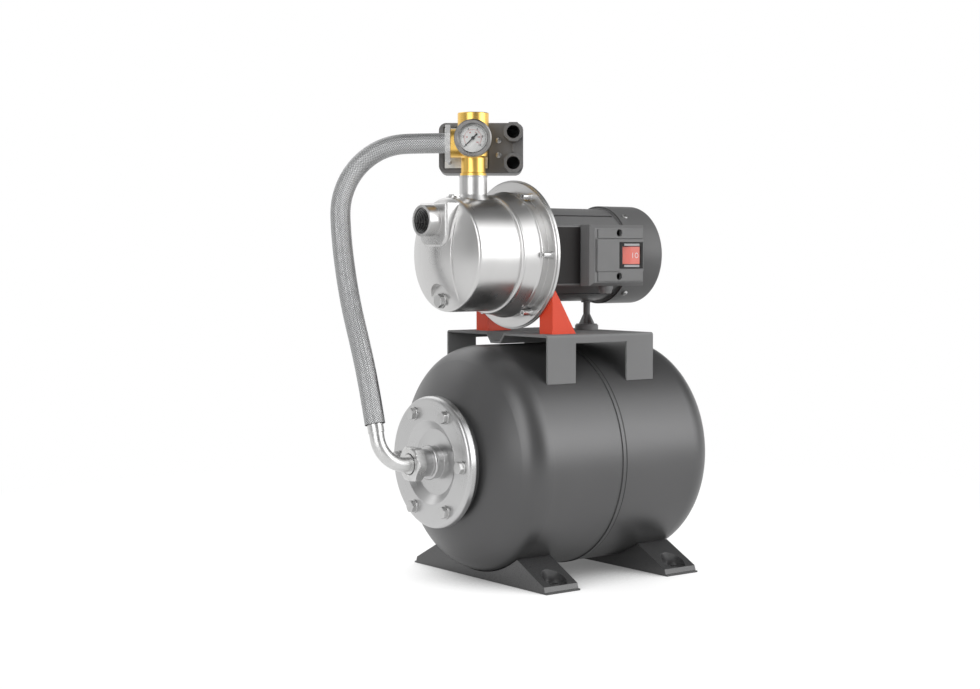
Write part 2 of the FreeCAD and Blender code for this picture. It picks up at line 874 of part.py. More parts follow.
# foot under the motor
standTop = size.shaftAxis - size.housingRadius
standLow = size.plateTop
standDiscTop = standLow + size.standDiscHigh
stand = revolved("z", (size.footStandPlace, 0, 0), [
    (standLow, 0),
    (standLow, size.standDisc),
    (standDiscTop - 1.5, size.standDisc, 1.5),
    (standDiscTop, size.standDisc - 1.5),
    (standDiscTop, size.standStem),
    (standTop + 2, size.standStem),
    (standTop + 2, 0),
])
ribs = []
for axis, plane in (("x", "xz"), ("y", "yz")):
    half = 1.1
    ribs.append(place(extruded(plane, -half, half, [
        (-(size.standDisc - 2), standDiscTop - 1),
        (size.standDisc - 2, standDiscTop - 1),
        (size.standStem + 0.6, standLow + size.standRibHigh),
        (-(size.standStem + 0.6), standLow + size.standRibHigh),
    ]), size.footStandPlace, 0, 0))
standCap = cylinder(7, 4, "+z", (size.footStandPlace, 0, standTop - 2))
motorForm = cylinder(size.housingRadius + size.fitGap, 60, "+x", (size.footStandPlace - 30, 0, size.shaftAxis))
standHole = cylinder(size.bracketBolt + size.fitGap, 10, "+z", (size.footStandPlace, 0, size.plateTop - 0.1))
node("motor_foot", cut(fuse(stand, standCap, *ribs), motorForm, standHole))

# elbow with its nut on the flange's nipple
nutInner = size.nippleRadius + size.fitGap
nutBar = prism(6, size.nutFlats, size.nutFront - size.nutBack, "-x", (-size.nutBack, 0, size.tankAxis), turn=30)
nutLipFace = -(size.nutFront - size.nutLip)
node("elbow_nut", cut(
    nutBar,
    cylinder(nutInner, 60, "+x", (nutLipFace, 0, size.tankAxis)),
    cylinder(size.nutHole, 20, "+x", (-size.nutFront - 1, 0, size.tankAxis)),
))

bendStart = size.elbowPlace - size.elbowBend
elbowSeat = size.nippleReach + size.restGap
armTop = size.elbowBend + size.elbowArm


def elbowBar(radius, extra):
    """The straight, the bend and the arm of the elbow, in its own frame, before its lean."""
    straight = cylinder(radius, bendStart - elbowSeat + extra, "+x", (-bendStart, 0, 0))
    bend = doc.addObject("Part::Torus", "Torus")
    bend.Placement = FreeCAD.Placement(
        Vector(), Rotation(Vector(0, 0, -1), Vector(-1, 0, 0), Vector(0, 1, 0), "XYZ"))
    bend.Angle3 = 90
    bind(bend, "Radius1", size.elbowBend)
    bind(bend, "Radius2", radius)
    place(bend, -bendStart, 0, size.elbowBend)
    arm = cylinder(radius, size.elbowArm + extra, "+z", (-size.elbowPlace, 0, size.elbowBend))
    return fuse(straight, bend, arm)


elbowCollars = [
    cylinder(nutInner - 0.1, size.nutLip - 1, "-x", (-elbowSeat, 0, 0)),
    cylinder(size.elbowCollar, size.nutFront - elbowSeat + 0.6, "-x", (-elbowSeat, 0, 0)),
]
elbow = cut(fuse(elbowBar(size.elbowRadius, 0), *elbowCollars), elbowBar(size.elbowRadius - size.elbowWall, 1))
sleeve = cut(
    cylinder(size.sleeveRadius, size.sleeveLength, "-z", (-size.elbowPlace, 0, armTop)),
    cylinder(size.elbowRadius + size.fitGap, size.sleeveLength + 2, "-z", (-size.elbowPlace, 0, armTop + 1)),
)
for name, thing in (("elbow_pipe", elbow), ("elbow_sleeve", sleeve)):
    thing.Placement = FreeCAD.Placement(Vector(), Rotation(Vector(-1, 0, 0), size.elbowTurn.number))
    bind(thing, "Placement.Rotation.Angle", size.elbowTurn)
    node(name, place(thing, 0, 0, size.tankAxis))

# pump casing: a revolved shell with a domed nose, a flat-sided suction block and a drain pocket
axisZ = size.shaftAxis
flangeBack = -(size.adapterRear + size.plateThick)
flangeFront = flangeBack - size.casingFlangeThick


def domeX(pole, curve, radius):
    return -pole + curve - root(curve * curve - radius * radius)


shell = newBody()
addRevolved(shell, "x", [
    (flangeBack, 0),
    (flangeBack, size.casingFlange),
    (flangeFront, size.casingFlange),
    (flangeFront, size.casingStep),
    (flangeFront - 7.5, size.casingStep, 3.6),
    (flangeFront - 12.5, size.casingStep - 0.4),
    (flangeFront - 30.3, size.casingRadius + 3.4, 3.5),
    (flangeFront - 35.3, size.casingRadius),
    (domeX(size.nosePole, size.noseCurve, size.casingRadius), size.casingRadius, size.noseCurve),
    (-size.nosePole, 0),
])
shell.Tip = shell.Group[-1]
place(shell, *shaftLine)
noseCircle = lambda edge: (
    edge.BoundBox.XLength < 0.01
    and edge.BoundBox.XMax < -size.outletPlace.number
    and edge.BoundBox.YLength > size.casingRadius.number
)
casingForm = rounded(shell, size.rimRound, noseCircle)
bandForm = rounded(
    common(
        sphere(size.bandCurve, (-size.bandPole + size.bandCurve, 0, axisZ)),
        box((-size.bandPole - 2, -size.bandHalf, axisZ - size.casingRadius),
            (-size.outletPlace, size.bandHalf, axisZ + size.casingRadius)),
        cylinder(size.casingRadius - 1.5, size.bandPole, "-x", (-size.outletPlace, 0, axisZ)),
    ),
    size.rimRound - 2.5,
    lambda edge: edge.BoundBox.XMin < -size.cavityFront.number - 3 and edge.BoundBox.XMax < -size.outletPlace.number - size.casingRadius.number / 2,
)
blockTop = axisZ + size.blockHigh
blockForm = rounded(
    extruded("yz", -size.blockFront, -size.outletPlace - 20, [
        (-size.blockHalf, axisZ + size.blockLow + size.blockCorner, size.blockCorner),
        (-size.blockHalf + size.blockCorner, axisZ + size.blockLow),
        (size.blockHalf - size.blockCorner, axisZ + size.blockLow, size.blockCorner),
        (size.blockHalf, axisZ + size.blockLow + size.blockCorner),
        (size.blockHalf, blockTop),
        (-size.blockHalf, blockTop),
    ]),
    size.blockRound,
    lambda edge: edge.BoundBox.XMax < -size.blockFront.number + 0.01,
)
portZ = axisZ + size.portHeight
outletLow = axisZ + size.casingRadius * 0.8
casingSolid = joined(
    casingForm,
    bandForm,
    blockForm,
    cylinder(size.portRadius, size.portFront - size.outletPlace - 20, "+x", (-size.portFront, 0, portZ)),
    cylinder(size.outletRadius, size.outletTop - outletLow, "+z", (-size.outletPlace, 0, outletLow)),
    cone(size.outletRadius + 5, size.outletRadius - 0.01, 9, "+z",
         (-size.outletPlace, 0, axisZ + size.casingRadius - 5)),
    cylinder(size.outletRadius + 0.6, 1.5, "-z", (-size.outletPlace, 0, size.outletTop)),
    cylinder(size.primingBoss, 10, "+z", (-size.primingPlace, 0, axisZ + size.casingRadius - 9)),
)
cavityBack = size.casingRadius - size.casingWall
cavity = revolved("x", shaftLine, [
    (flangeBack + 1, 0),
    (flangeBack + 1, size.casingStep - 4),
    (flangeFront - 9, size.casingStep - 4),
    (flangeFront - 28, size.casingRadius),
    (flangeFront - 36, cavityBack),
    (-size.cavityFront + 10, cavityBack),
    (-size.cavityFront, cavityBack - 8),
    (-size.cavityFront, 0),
])
drainZ = axisZ - size.drainDrop
primingTop = axisZ + size.casingRadius + 1
node("pump_casing", cut(
    casingSolid,
    cavity,
    cylinder(size.portBore, size.portFront - size.cavityFront + 2, "+x", (-size.portFront - 1, 0, portZ)),
    cylinder(size.outletBore, size.outletTop - outletLow + 2, "+z", (-size.outletPlace, 0, outletLow - 1)),
    cylinder(size.drainPocket, 30, "-x", (-size.drainFloor, 0, drainZ)),
    cylinder(size.drainThread + size.fitGap, 12, "+x", (-size.drainFloor - 1, 0, drainZ)),
    cylinder(size.drainThread + size.fitGap, 12, "-z", (-size.primingPlace, 0, primingTop + 1)),
    *[cylinder(size.screwThread + size.fitGap, 6, "+x", (flangeFront - 1, y, axisZ + z)) for y, z in screwPlaces],
))

node("drain_plug", fuse(
    cylinder(size.drainThread, 5, "+x", (-size.drainFloor, 0, drainZ)),
    cylinder(size.drainFlats / 2 + 2, 1.5, "-x", (-size.drainFloor, 0, drainZ)),
    prism(6, size.drainFlats, 5, "-x", (-size.drainFloor - 1.5, 0, drainZ)),
))
node("priming_plug", fuse(
    cylinder(size.drainThread, 4.5, "-z", (-size.primingPlace, 0, primingTop)),
    cylinder(size.primingFlats / 2 + 1, 1, "+z", (-size.primingPlace, 0, primingTop)),
    prism(6, size.primingFlats, 1.6, "+z", (-size.primingPlace, 0, primingTop + 1)),
))

# screws that clamp the casing to the adapter plate
casingScrews = []
for y, z in screwPlaces:
    seat = (flangeFront, y, axisZ + z)
    body = fuse(
        cylinder(size.screwBody, size.screwLength, "-x", seat),
        cylinder(size.screwWasher, 1.5, "-x", seat),
        cylinder(size.screwThread, size.casingFlangeThick + size.plateThick, "+x", seat),
    )
    socket = prism(6, size.screwBody, 3, "+x", (flangeFront - size.screwLength - 0.01, y, axisZ + z))
    casingScrews.append(cut(body, socket))
node("casing_screws", fuse(*casingScrews))

# adapter plate between pump and motor, with the groove of the casing's seal
grooveDepth = 1.8
sealInner, sealOuter = size.casingStep - 2.4, size.casingStep + 0.6
hubFront = flangeBack - 5
seatFloor = flangeBack + 0.5
adapter = revolved("x", shaftLine, [
    (hubFront, size.sealRadius + size.fitGap),
    (hubFront, size.sealRadius + 6),
    (flangeBack, size.sealRadius + 6),
    (flangeBack, sealInner),
    (flangeBack + grooveDepth, sealInner),
    (flangeBack + grooveDepth, sealOuter),
    (flangeBack, sealOuter),
    (flangeBack, size.adapterRadius),
    (-size.adapterRear, size.adapterRadius),
    (-size.adapterRear, size.shaftSeat + 0.6),
    (seatFloor, size.shaftSeat + 0.6),
    (seatFloor, size.sealRadius + size.fitGap),
])
adapterHoles = [
    cylinder(size.screwThread + size.fitGap, 6, "+x", (flangeBack - 1, y, axisZ + z)) for y, z in screwPlaces
]
node("adapter_plate", cut(adapter, *adapterHoles))
node("casing_seal", tube(sealOuter - size.fitGap, sealInner + size.fitGap,
                         flangeBack + size.fitGap, flangeBack + grooveDepth - size.fitGap, shaftLine))

# shaft seal: a fixed seat in the plate and a head that turns with the shaft
node("seal_seat", tube(size.sealRadius, size.shaftEnd + 1, hubFront - 0.5, seatFloor - size.fitGap, shaftLine))
impellerBack = -size.impellerFront + size.impellerWidth
hubBack = hubFront - 12
node("seal_head", revolved("x", shaftLine, [
    (hubBack + size.fitGap, size.shaftEnd + size.fitGap),
    (hubBack + size.fitGap, size.sealRadius - 2.5),
    (hubFront - 4, size.sealRadius - 2.5),
    (hubFront - 4, size.sealRadius - 0.8),
    (hubFront - 0.5 - size.fitGap, size.sealRadius - 0.8),
    (hubFront - 0.5 - size.fitGap, size.shaftEnd + size.fitGap),
]))

# impeller: hub and back shroud, swept blades, front shroud with the eye
impeller = newBody()
frontX = -size.impellerFront
addRevolved(impeller, "x", [
    (frontX - 2, 0),
    (frontX - 2, size.hubRadius - 4),
    (frontX + 4, size.hubRadius),
    (impellerBack - size.shroudThick, size.hubRadius),
    (impellerBack - size.shroudThick, size.impellerRadius),
    (impellerBack, size.impellerRadius),
    (impellerBack, size.hubRadius),
    (hubBack, size.hubRadius),
    (hubBack, size.shaftEnd + size.fitGap),
    (-size.shaftTip - size.fitGap + 4, size.shaftEnd + size.fitGap),
    (-size.shaftTip - size.fitGap + 4, 0),
])
bladeRoot = size.hubRadius - 1
bladeTip = size.impellerRadius - 1
bladeSpan = bladeTip * 0.8
blade = addExtruded(impeller, "yz", frontX + size.shroudThick / 2, impellerBack - size.shroudThick / 2, [
    (0, bladeRoot, bladeSpan * 1.1),
    (-bladeTip * 0.62, bladeTip * 0.78),
    (-bladeTip * 0.60 - 2.4, bladeTip * 0.76, -bladeSpan * 1.1),
    (-2.4, bladeRoot),
])
impeller.Tip = blade
addRing(impeller, blade, "x", 6)
addRevolved(impeller, "x", [
    (frontX, size.eyeRadius + 3),
    (frontX, size.impellerRadius),
    (frontX + size.shroudThick, size.impellerRadius),
    (frontX + size.shroudThick, size.eyeRadius + 3),
])
node("impeller", place(impeller, *shaftLine))

# diffuser cup round the impeller and the ejector before its eye
diffuserX = -size.diffuserFront
cupInner = size.diffuserRadius - size.boxWall
diffuser = revolved("x", shaftLine, [
    (diffuserX, size.eyeRadius),
    (diffuserX, size.diffuserRadius),
    (flangeBack - size.restGap, size.diffuserRadius),
    (flangeBack - size.restGap, cupInner),
    (diffuserX + 2.5, cupInner),
    (diffuserX + 2.5, size.eyeRadius),
])
slotFront = impellerBack + 6
diffuserSlots = []
for i in range(3):
    slot = box((slotFront, -7, -size.diffuserRadius - 2), (flangeBack - 8, 7, size.diffuserRadius + 2))
    slot.Placement = FreeCAD.Placement(Vector(), Rotation(Vector(1, 0, 0), 60 * i))
    cosA, sinA = math.cos(math.radians(60 * i)), math.sin(math.radians(60 * i))
    low = -size.diffuserRadius - 2
    place(slot, slotFront, -7 * cosA - low * sinA, -7 * sinA + low * cosA + axisZ)
    diffuserSlots.append(slot)
node("diffuser", cut(diffuser, *diffuserSlots))

nozzleFront = -size.cavityFront + size.restGap
node("ejector", revolved("x", shaftLine, [
    (nozzleFront, size.throatRadius + 6),
    (nozzleFront, size.throatRadius + 9),
    (nozzleFront + 3, size.throatRadius + 9),
    (nozzleFront + 20, size.throatRadius + 2.5),
    (nozzleFront + 30, size.throatRadius + 2.5),
    (diffuserX - 4, size.eyeRadius + 2),
    (diffuserX - 4, size.eyeRadius + 6),
    (diffuserX - size.restGap, size.eyeRadius + 6),
    (diffuserX - size.restGap, size.eyeRadius),
    (nozzleFront + 30, size.throatRadius),
    (nozzleFront + 20, size.throatRadius),
]))

# shaft, rotor, stator and bearings
node("motor_shaft", revolved("x", shaftLine, [
    (-size.shaftTip + 4, 0),
    (-size.shaftTip + 4, size.shaftEnd),
    (-size.adapterRear + 0.85, size.shaftEnd),
    (-size.adapterRear + 0.85, size.shaftSeat),
    (-size.frontBearing + size.bearingWidth + 4, size.shaftSeat),
    (-size.frontBearing + size.bearingWidth + 4, size.shaftCore),
    (size.rearBearing - 4, size.shaftCore),
    (size.rearBearing - 4, size.shaftSeat),
    (size.rearBearing + size.bearingWidth + 4, size.shaftSeat),
    (size.rearBearing + size.bearingWidth + 4, size.shaftEnd),
    (size.shaftTail, size.shaftEnd),
    (size.shaftTail, 0),
]))
node("rotor", tube(size.rotorRadius, size.shaftCore + size.fitGap, -size.coreFront, size.coreRear, shaftLine))
statorInner = size.rotorRadius + size.airGap
statorOuter = size.housingBore - size.fitGap
node("stator_core", tube(statorOuter, statorInner, -size.coreFront, size.coreRear, shaftLine))
windingLow, windingHigh = statorInner + 3, statorOuter - 3
node("stator_windings", fuse(
    tube(windingHigh, windingLow, -size.coreFront - size.windingDepth, -size.coreFront - size.fitGap, shaftLine),
    tube(windingHigh, windingLow, size.coreRear + size.fitGap, size.coreRear + size.windingDepth - 1, shaftLine),
))


def bearing(front):
    """A sealed ball bearing: two races and the recessed seals between them."""
    back = front + size.bearingWidth
    inner, outer = size.bearingBore + 2.5, size.bearingRadius - 2.5
    return revolved("x", shaftLine, [
        (front, size.bearingBore),
        (front, inner),
        (front + 0.6, inner),
        (front + 0.6, outer),
        (front, outer),
        (front, size.bearingRadius),
        (back, size.bearingRadius),
        (back, outer),
        (back - 0.6, outer),
        (back - 0.6, inner),
        (back, inner),
        (back, size.bearingBore),
    ])


node("bearings", fuse(bearing(-size.frontBearing), bearing(size.rearBearing)))

seatBore = size.bearingRadius + size.fitGap
shieldFace = -size.adapterRear + size.fitGap
node("end_shield_front", revolved("x", shaftLine, [
    (shieldFace, size.shaftSeat + 1.5),
    (shieldFace, size.housingBore - size.fitGap),
    (shieldFace + 6, size.housingBore - size.fitGap),
    (shieldFace + 6, seatBore + 4),
    (-size.frontBearing + size.bearingWidth, seatBore + 4),
    (-size.frontBearing + size.bearingWidth, seatBore),
    (-size.frontBearing - size.fitGap, seatBore),
    (-size.frontBearing - size.fitGap, size.shaftSeat + 1.5),
]))
shieldRear = size.housingRear + size.fitGap
shieldRim = size.coverRadius - size.coverWall - size.restGap
shieldFloor = size.rearBearing + size.bearingWidth + size.fitGap
endShield = revolved("x", shaftLine, [
    (size.rearBearing, seatBore),
    (size.rearBearing, seatBore + 4),
    (shieldRear, seatBore + 4),
    (shieldRear, size.housingRadius),
    (size.coverFront, size.housingRadius),
    (size.coverFront, shieldRim),
    (size.coverScrewPlace + 4, shieldRim),
    (size.coverScrewPlace + 4, shieldRim - 6),
    (size.coverFront + 1.5, shieldRim - 6),
    (size.coverFront + 1.5, size.shaftSeat + 0.6),
    (shieldFloor, size.shaftSeat + 0.6),
    (shieldFloor, seatBore),
])
coverScrewAngles = (50, 130, 230, 310)


def radialCylinder(radius, length, angle, reach, x):
    """A cylinder that points out from the shaft's line, its foot at the reach given."""
    thing = doc.addObject("Part::Cylinder", "Cylinder")
    turn = math.radians(angle)
    outward = Vector(0, -math.cos(turn), math.sin(turn))
    thing.Placement = FreeCAD.Placement(Vector(), Rotation(Vector(0, 0, 1), outward))
    bind(thing, "Radius", radius)
    bind(thing, "Height", length)
    return place(thing, x, reach * outward.y, size.shaftAxis + reach * outward.z)


shieldHoles = [radialCylinder(2.05, 6, a, shieldRim - 5, size.coverScrewPlace) for a in coverScrewAngles]
node("end_shield_rear", cut(endShield, *shieldHoles))

# motor housing: a ribbed extrusion with a flat pad for the box
ribCount = 16
ribGrooves = []
for i in range(ribCount):
    angle = 360.0 / ribCount * (i + 0.5)
    outward = Vector(0, -math.cos(math.radians(angle)), math.sin(math.radians(angle)))
    if outward.y < -0.7:
        continue
    groove = doc.addObject("Part::Box", "Groove")
    aside = outward.cross(Vector(1, 0, 0))
    turn = Rotation(Vector(1, 0, 0), aside, outward, "XYZ")
    groove.Placement = FreeCAD.Placement(Vector(), turn)
    bind(groove, "Length", size.housingRear + size.adapterRear + 2)
    bind(groove, "Width", size.ribGroove)
    bind(groove, "Height", size.ribDepth + 5)
    reach = size.housingRadius - size.ribDepth
    place(groove, -size.adapterRear - 1,
          reach * outward.y - size.ribGroove * (aside.y / 2),
          size.shaftAxis + reach * outward.z - size.ribGroove * (aside.z / 2))
    ribGrooves.append(groove)
housingSolid = fuse(
    cylinder(size.housingRadius, size.housingRear + size.adapterRear - size.fitGap, "+x",
             (shieldFace, 0, size.shaftAxis)),
    rounded(
        box((shieldFace, -size.padFace, size.padLow), (size.housingRear, -size.housingBore + 10, size.padHigh)),
        size.rimRound - 1,
        lambda edge: edge.BoundBox.YMax < -size.padFace.number + 0.01 and edge.BoundBox.XLength > 1,
    ),
)
housingBore = cylinder(size.housingBore, size.adapterRear + size.housingRear + 20, "+x",
                       (-size.adapterRear - 10, 0, size.shaftAxis))
node("motor_housing", cut(housingSolid, housingBore, *ribGrooves))

node("nameplate", box((-size.adapterRear + 4, -size.padFace - 0.8, size.padLow + 3),
                      (-size.boxFront - 1, -size.padFace, size.padHigh - 3)))

# cooling fan on the shaft's tail
fan = newBody()
fanBack = size.fanFront + size.fanWidth
addRevolved(fan, "x", [
    (size.fanFront, size.shaftEnd + size.fitGap),
    (size.fanFront, 28),
    (size.fanFront + 2, 28),
    (size.fanFront + 4, size.hubRadius),
    (fanBack, size.hubRadius),
    (fanBack, size.shaftEnd + size.fitGap),
])
fanBlade = addExtruded(fan, "yz", size.fanFront + 0.5, fanBack - 1, [
    (-size.fanBlade / 2, size.hubRadius - 1),
    (size.fanBlade / 2, size.hubRadius - 1),
    (size.fanBlade / 2, size.fanRadius),
    (-size.fanBlade / 2, size.fanRadius),
])
fan.Tip = fanBlade
addRing(fan, fanBlade, "x", 7)
node("cooling_fan", place(fan, *shaftLine))

# fan cover: a deep drawn cup with a grille of rings and bars
coverInner = size.coverRadius - size.coverWall
coverSkin = revolved("x", shaftLine, [
    (size.coverFront, coverInner),
    (size.coverFront, size.coverRadius),
    (size.coverRear - size.coverRound, size.coverRadius, -size.coverRound),
    (size.coverRear, size.coverRadius - size.coverRound),
    (size.coverRear, size.coverRadius - 10),
    (size.coverRear - size.coverWall, size.coverRadius - 10),
    (size.coverRear - size.coverWall, size.coverRadius - size.coverRound, size.coverRound - size.coverWall),
    (size.coverRear - size.coverRound, coverInner),
])
grilleFront = size.coverRear - size.coverWall
rings = [
    tube(size.grilleStep * i + size.grilleBar / 2, size.grilleStep * i - size.grilleBar / 2,
         grilleFront, size.coverRear, shaftLine)
    for i in range(3, 11)
]
hub = cylinder(size.grilleStep * 2, size.coverWall, "+x", (grilleFront, 0, size.shaftAxis))
bars = []
for i in range(6):
    angle = math.radians(60 * i + 30)
    outward = Vector(0, math.cos(angle), math.sin(angle))
    bar = doc.addObject("Part::Box", "Bar")
    aside = outward.cross(Vector(1, 0, 0))
    bar.Placement = FreeCAD.Placement(Vector(), Rotation(Vector(1, 0, 0), aside, outward, "XYZ"))
    bind(bar, "Length", size.coverWall)
    bind(bar, "Width", 3)
    bind(bar, "Height", size.coverRadius - 10 - size.grilleStep)
    reach = size.grilleStep * 1.5
    place(bar, grilleFront, reach * outward.y - aside.y * 1.5, size.shaftAxis + reach * outward.z - aside.z * 1.5)
    bars.append(bar)
coverHoles = [radialCylinder(2.3, 8, a, coverInner - 3, size.coverScrewPlace) for a in coverScrewAngles]
node("fan_cover", cut(fuse(coverSkin, hub, *rings, *bars), *coverHoles))
node("cover_screws", fuse(*[
    fuse(
        radialCylinder(3.6, 2.2, a, size.coverRadius, size.coverScrewPlace),
        radialCylinder(2.0, 6, a, size.coverRadius - 5.9, size.coverScrewPlace),
    )
    for a in coverScrewAngles
]))

# terminal box on the pad
boxX = (-size.boxFront, size.boxRear)
boxZ = (size.padLow, size.padHigh)
wall = size.boxWall
baseBack = -size.padFace - size.fitGap
boxScrews = ((size.boxScrewPlace, size.boxScrewHigh), (size.boxScrewPlace, size.boxScrewLow))
baseForm = cut(
    box((boxX[0], -size.boxSplit, boxZ[0]), (boxX[1], baseBack, boxZ[1])),
    box((boxX[0] + wall, -size.boxSplit - 1, boxZ[0] + wall), (boxX[1] - wall, baseBack - wall, boxZ[1] - wall)),
)
baseBosses = [
    cylinder(4.5, size.boxSplit - size.padFace - size.fitGap, "-y", (x, baseBack, z)) for x, z in boxScrews
]
gland = (size.glandPlace, -size.glandOut)
node("terminal_box_base", cut(
    fuse(baseForm, *baseBosses),
    *[cylinder(2.05, 10, "+y", (x, -size.boxSplit - 0.1, z)) for x, z in boxScrews],
    cylinder(5.05, 6, "+z", (*gland, size.padLow - 1)),
))

# the cover's bevel is a wedge that narrows towards the face
coverFoot = -size.boxSplit - size.fitGap
faceY = -size.boxFace
bevelStart = coverFoot - 3
coverWedge = doc.addObject("Part::Wedge", "Wedge")
coverWedge.Placement = FreeCAD.Placement(Vector(), Rotation(Vector(1, 0, 0), 180))
for path, value in {
    "Xmin": boxX[0], "Xmax": boxX[1], "X2min": boxX[0] + size.boxBevel, "X2max": boxX[1] - size.boxBevel,
    "Ymin": -bevelStart, "Ymax": size.boxFace,
    "Zmin": -boxZ[1], "Zmax": -boxZ[0], "Z2min": -boxZ[1] + size.boxBevel, "Z2max": -boxZ[0] - size.boxBevel,
}.items():
    bind(coverWedge, path, value)
middleZ = (size.padLow + size.padHigh) / 2
panels = [
    box((boxX[0] + 9, faceY - size.panelRise, z0), (boxX[1] - 6, faceY + 1, z1))
    for z0, z1 in (
        (size.boxScrewHigh - 6.5, size.padHigh - size.boxBevel - 1.5),
        (size.padLow + size.boxBevel + 1.5, size.boxScrewLow + 6.5),
    )
]
panels.append(box((boxX[0] + 6.5, faceY - size.panelRise, middleZ - 19.5),
                  (boxX[1] - 4.5, faceY + 1, middleZ + 19.5)))
recessFloor = faceY + 5
coverOuter = fuse(
    box((boxX[0], bevelStart, boxZ[0]), (boxX[1], coverFoot, boxZ[1])),
    coverWedge,
    *panels,
)
coverHollow = box((boxX[0] + wall, faceY + wall, boxZ[0] + wall), (boxX[1] - wall, coverFoot + 1, boxZ[1] - wall))
posts = [cylinder(size.boxScrewRecess + 2, size.boxFace - size.boxSplit - size.fitGap - 0.1, "-y",
                  (x, coverFoot, z)) for x, z in boxScrews]
switchX = (size.switchPlace - size.switchHalf, size.switchPlace + size.switchHalf)
switchZ = (size.switchHeight - size.switchRise, size.switchHeight + size.switchRise)
switchWindow = box((switchX[0] - 0.3, faceY - 10, switchZ[0] - 0.3), (switchX[1] + 0.3, coverFoot + 1, switchZ[1] + 0.3))
bevelTrim = cut(
    box((boxX[0] - 1, faceY - 5, boxZ[0] - 1), (boxX[1] + 1, coverFoot + 2, boxZ[1] + 1)),
    fuse(box((boxX[0], bevelStart, boxZ[0]), (boxX[1], coverFoot + 3, boxZ[1])), coverWedge,
         box((boxX[0] + 5, faceY - 6, boxZ[0] + 5), (boxX[1] - 4.4, faceY + 1, boxZ[1] - 5))),
)
node("terminal_box_cover", cut(
    fuse(cut(coverOuter, coverHollow), *posts),
    switchWindow,
    bevelTrim,
    *[cylinder(size.boxScrewRecess, 10, "-y", (x, recessFloor, z)) for x, z in boxScrews],
    *[cylinder(2.3, 10, "-y", (x, coverFoot + 1, z)) for x, z in boxScrews],
))
node("terminal_screws", fuse(*[
    fuse(
        cylinder(size.boxScrewRecess - 0.5, 2.4, "-y", (x, recessFloor, z)),
        cylinder(2.0, size.boxSplit - size.padFace - 2 - 2 + 2.8, "+y", (x, recessFloor - 0.1, z)),
    )
    for x, z in boxScrews
]))

node("cable_gland", revolved("z", (*gland, 0), [
    (size.padLow - 9, size.glandBore),
    (size.padLow - 9, size.glandRadius - 2.5),
    (size.padLow - 5, size.glandRadius - 1),
    (size.padLow - 4, size.glandRadius - 1),
    (size.padLow - 4, size.glandRadius),
    (size.padLow, size.glandRadius),
    (size.padLow, 5),
    (size.padLow + wall + 2, 5),
    (size.padLow + wall + 2, size.glandBore),
]))
node("capacitor", cylinder(size.capRadius, size.capLength, "+x", (
    boxX[0] + wall + size.restGap, baseBack - wall - size.restGap - size.capRadius, size.boxScrewHigh - 16)))

# rocker switch: a frame in the cover's window and a rocker on its pins
bezelFront = faceY - size.panelRise - 0.5
pivotY = -size.rockerPivot
rockerGap = 0.5
bezel = fuse(
    box((switchX[0], bezelFront, switchZ[0]), (switchX[1], -size.padFace - 6, switchZ[1])),
)
bezelOpening = box(
    (size.switchPlace - size.rockerHalf - rockerGap, bezelFront - 1, size.switchHeight - size.rockerRise - size.restGap),
    (size.switchPlace + size.rockerHalf + rockerGap, -size.padFace - 8, size.switchHeight + size.rockerRise + size.restGap),
)
pinReach = size.rockerRise + 2.5
pinHole = cylinder(size.rockerPin + size.fitGap, pinReach * 2 + 1, "+z",
                   (size.switchPlace, pivotY, size.switchHeight - pinReach - 0.5))
node("switch_bezel", cut(bezel, bezelOpening, pinHole))
rockerForm = place(extruded("xy", -size.rockerRise, size.rockerRise, [
    (-size.rockerHalf + 4, 5),
    (-size.rockerHalf + 0.3, 0),
    (-size.rockerHalf + 0.8, -3.2),
    (0, -4.6),
    (size.rockerHalf - 0.8, -3.2),
    (size.rockerHalf - 0.3, 0),
    (size.rockerHalf - 4, 5),
]), 0, 0, 0)
rocker = fuse(rockerForm, cylinder(size.rockerPin, pinReach * 2, "+z", (0, 0, -pinReach)))
rocker.Placement = FreeCAD.Placement(Vector(), Rotation(Vector(0, 0, 1), -8))
node("rocker", place(rocker, size.switchPlace, pivotY, size.switchHeight))

# brass manifold on the outlet: a column with a socket on top and three side ports
columnLow = size.outletTop - 13
gaugePort = size.gaugeBack - 8
column = revolved("z", (0, 0, 0), [
    (columnLow, 0),
    (columnLow, size.outletBore - size.fitGap),
    (size.outletTop, size.outletBore - size.fitGap),
    (size.outletTop, size.manifoldRadius + 1.1),
    (size.outletTop + 3, size.manifoldRadius + 1.1),
    (size.outletTop + 3.6, size.manifoldRadius),
    (size.manifoldBodyLow, size.manifoldRadius),
    (size.manifoldBodyLow + 2, size.manifoldBody),
    (size.socketLow - 1, size.manifoldBody),
    (size.socketLow, size.socketRadius),
    (size.manifoldTop - 0.8, size.socketRadius),
    (size.manifoldTop, size.socketRadius - 0.8),
    (size.manifoldTop, 0),
])
node("manifold", onManifold(cut(
    fuse(
        column,
        cylinder(size.manifoldBody, size.sideReach, "+x", (0, 0, size.sideHeight)),
        cylinder(size.portBore - 2.5, size.hoseNutReach - 1, "+x", (0, 0, size.sideHeight)),
        cylinder(size.gaugeSocket + 3.5, gaugePort, "+y", (0, 0, size.gaugeHeight)),
        cylinder(size.gaugeSocket + 3.5, size.boxNear - 9, "-y", (0, 0, size.sideHeight)),
    ),
    cylinder(size.waterway, size.manifoldTop - columnLow + 2, "+z", (0, 0, columnLow - 1)),
    cylinder(size.socketBore, size.socketDepth + 1, "-z", (0, 0, size.manifoldTop + 1)),
    cylinder(size.waterway, 60, "+x", (0, 0, size.sideHeight)),
    cylinder(size.gaugeSocket - 1, 60, "+y", (0, 0, size.gaugeHeight)),
    cylinder(size.gaugeSocket - 1, 60, "-y", (0, 0, size.sideHeight)),
)))
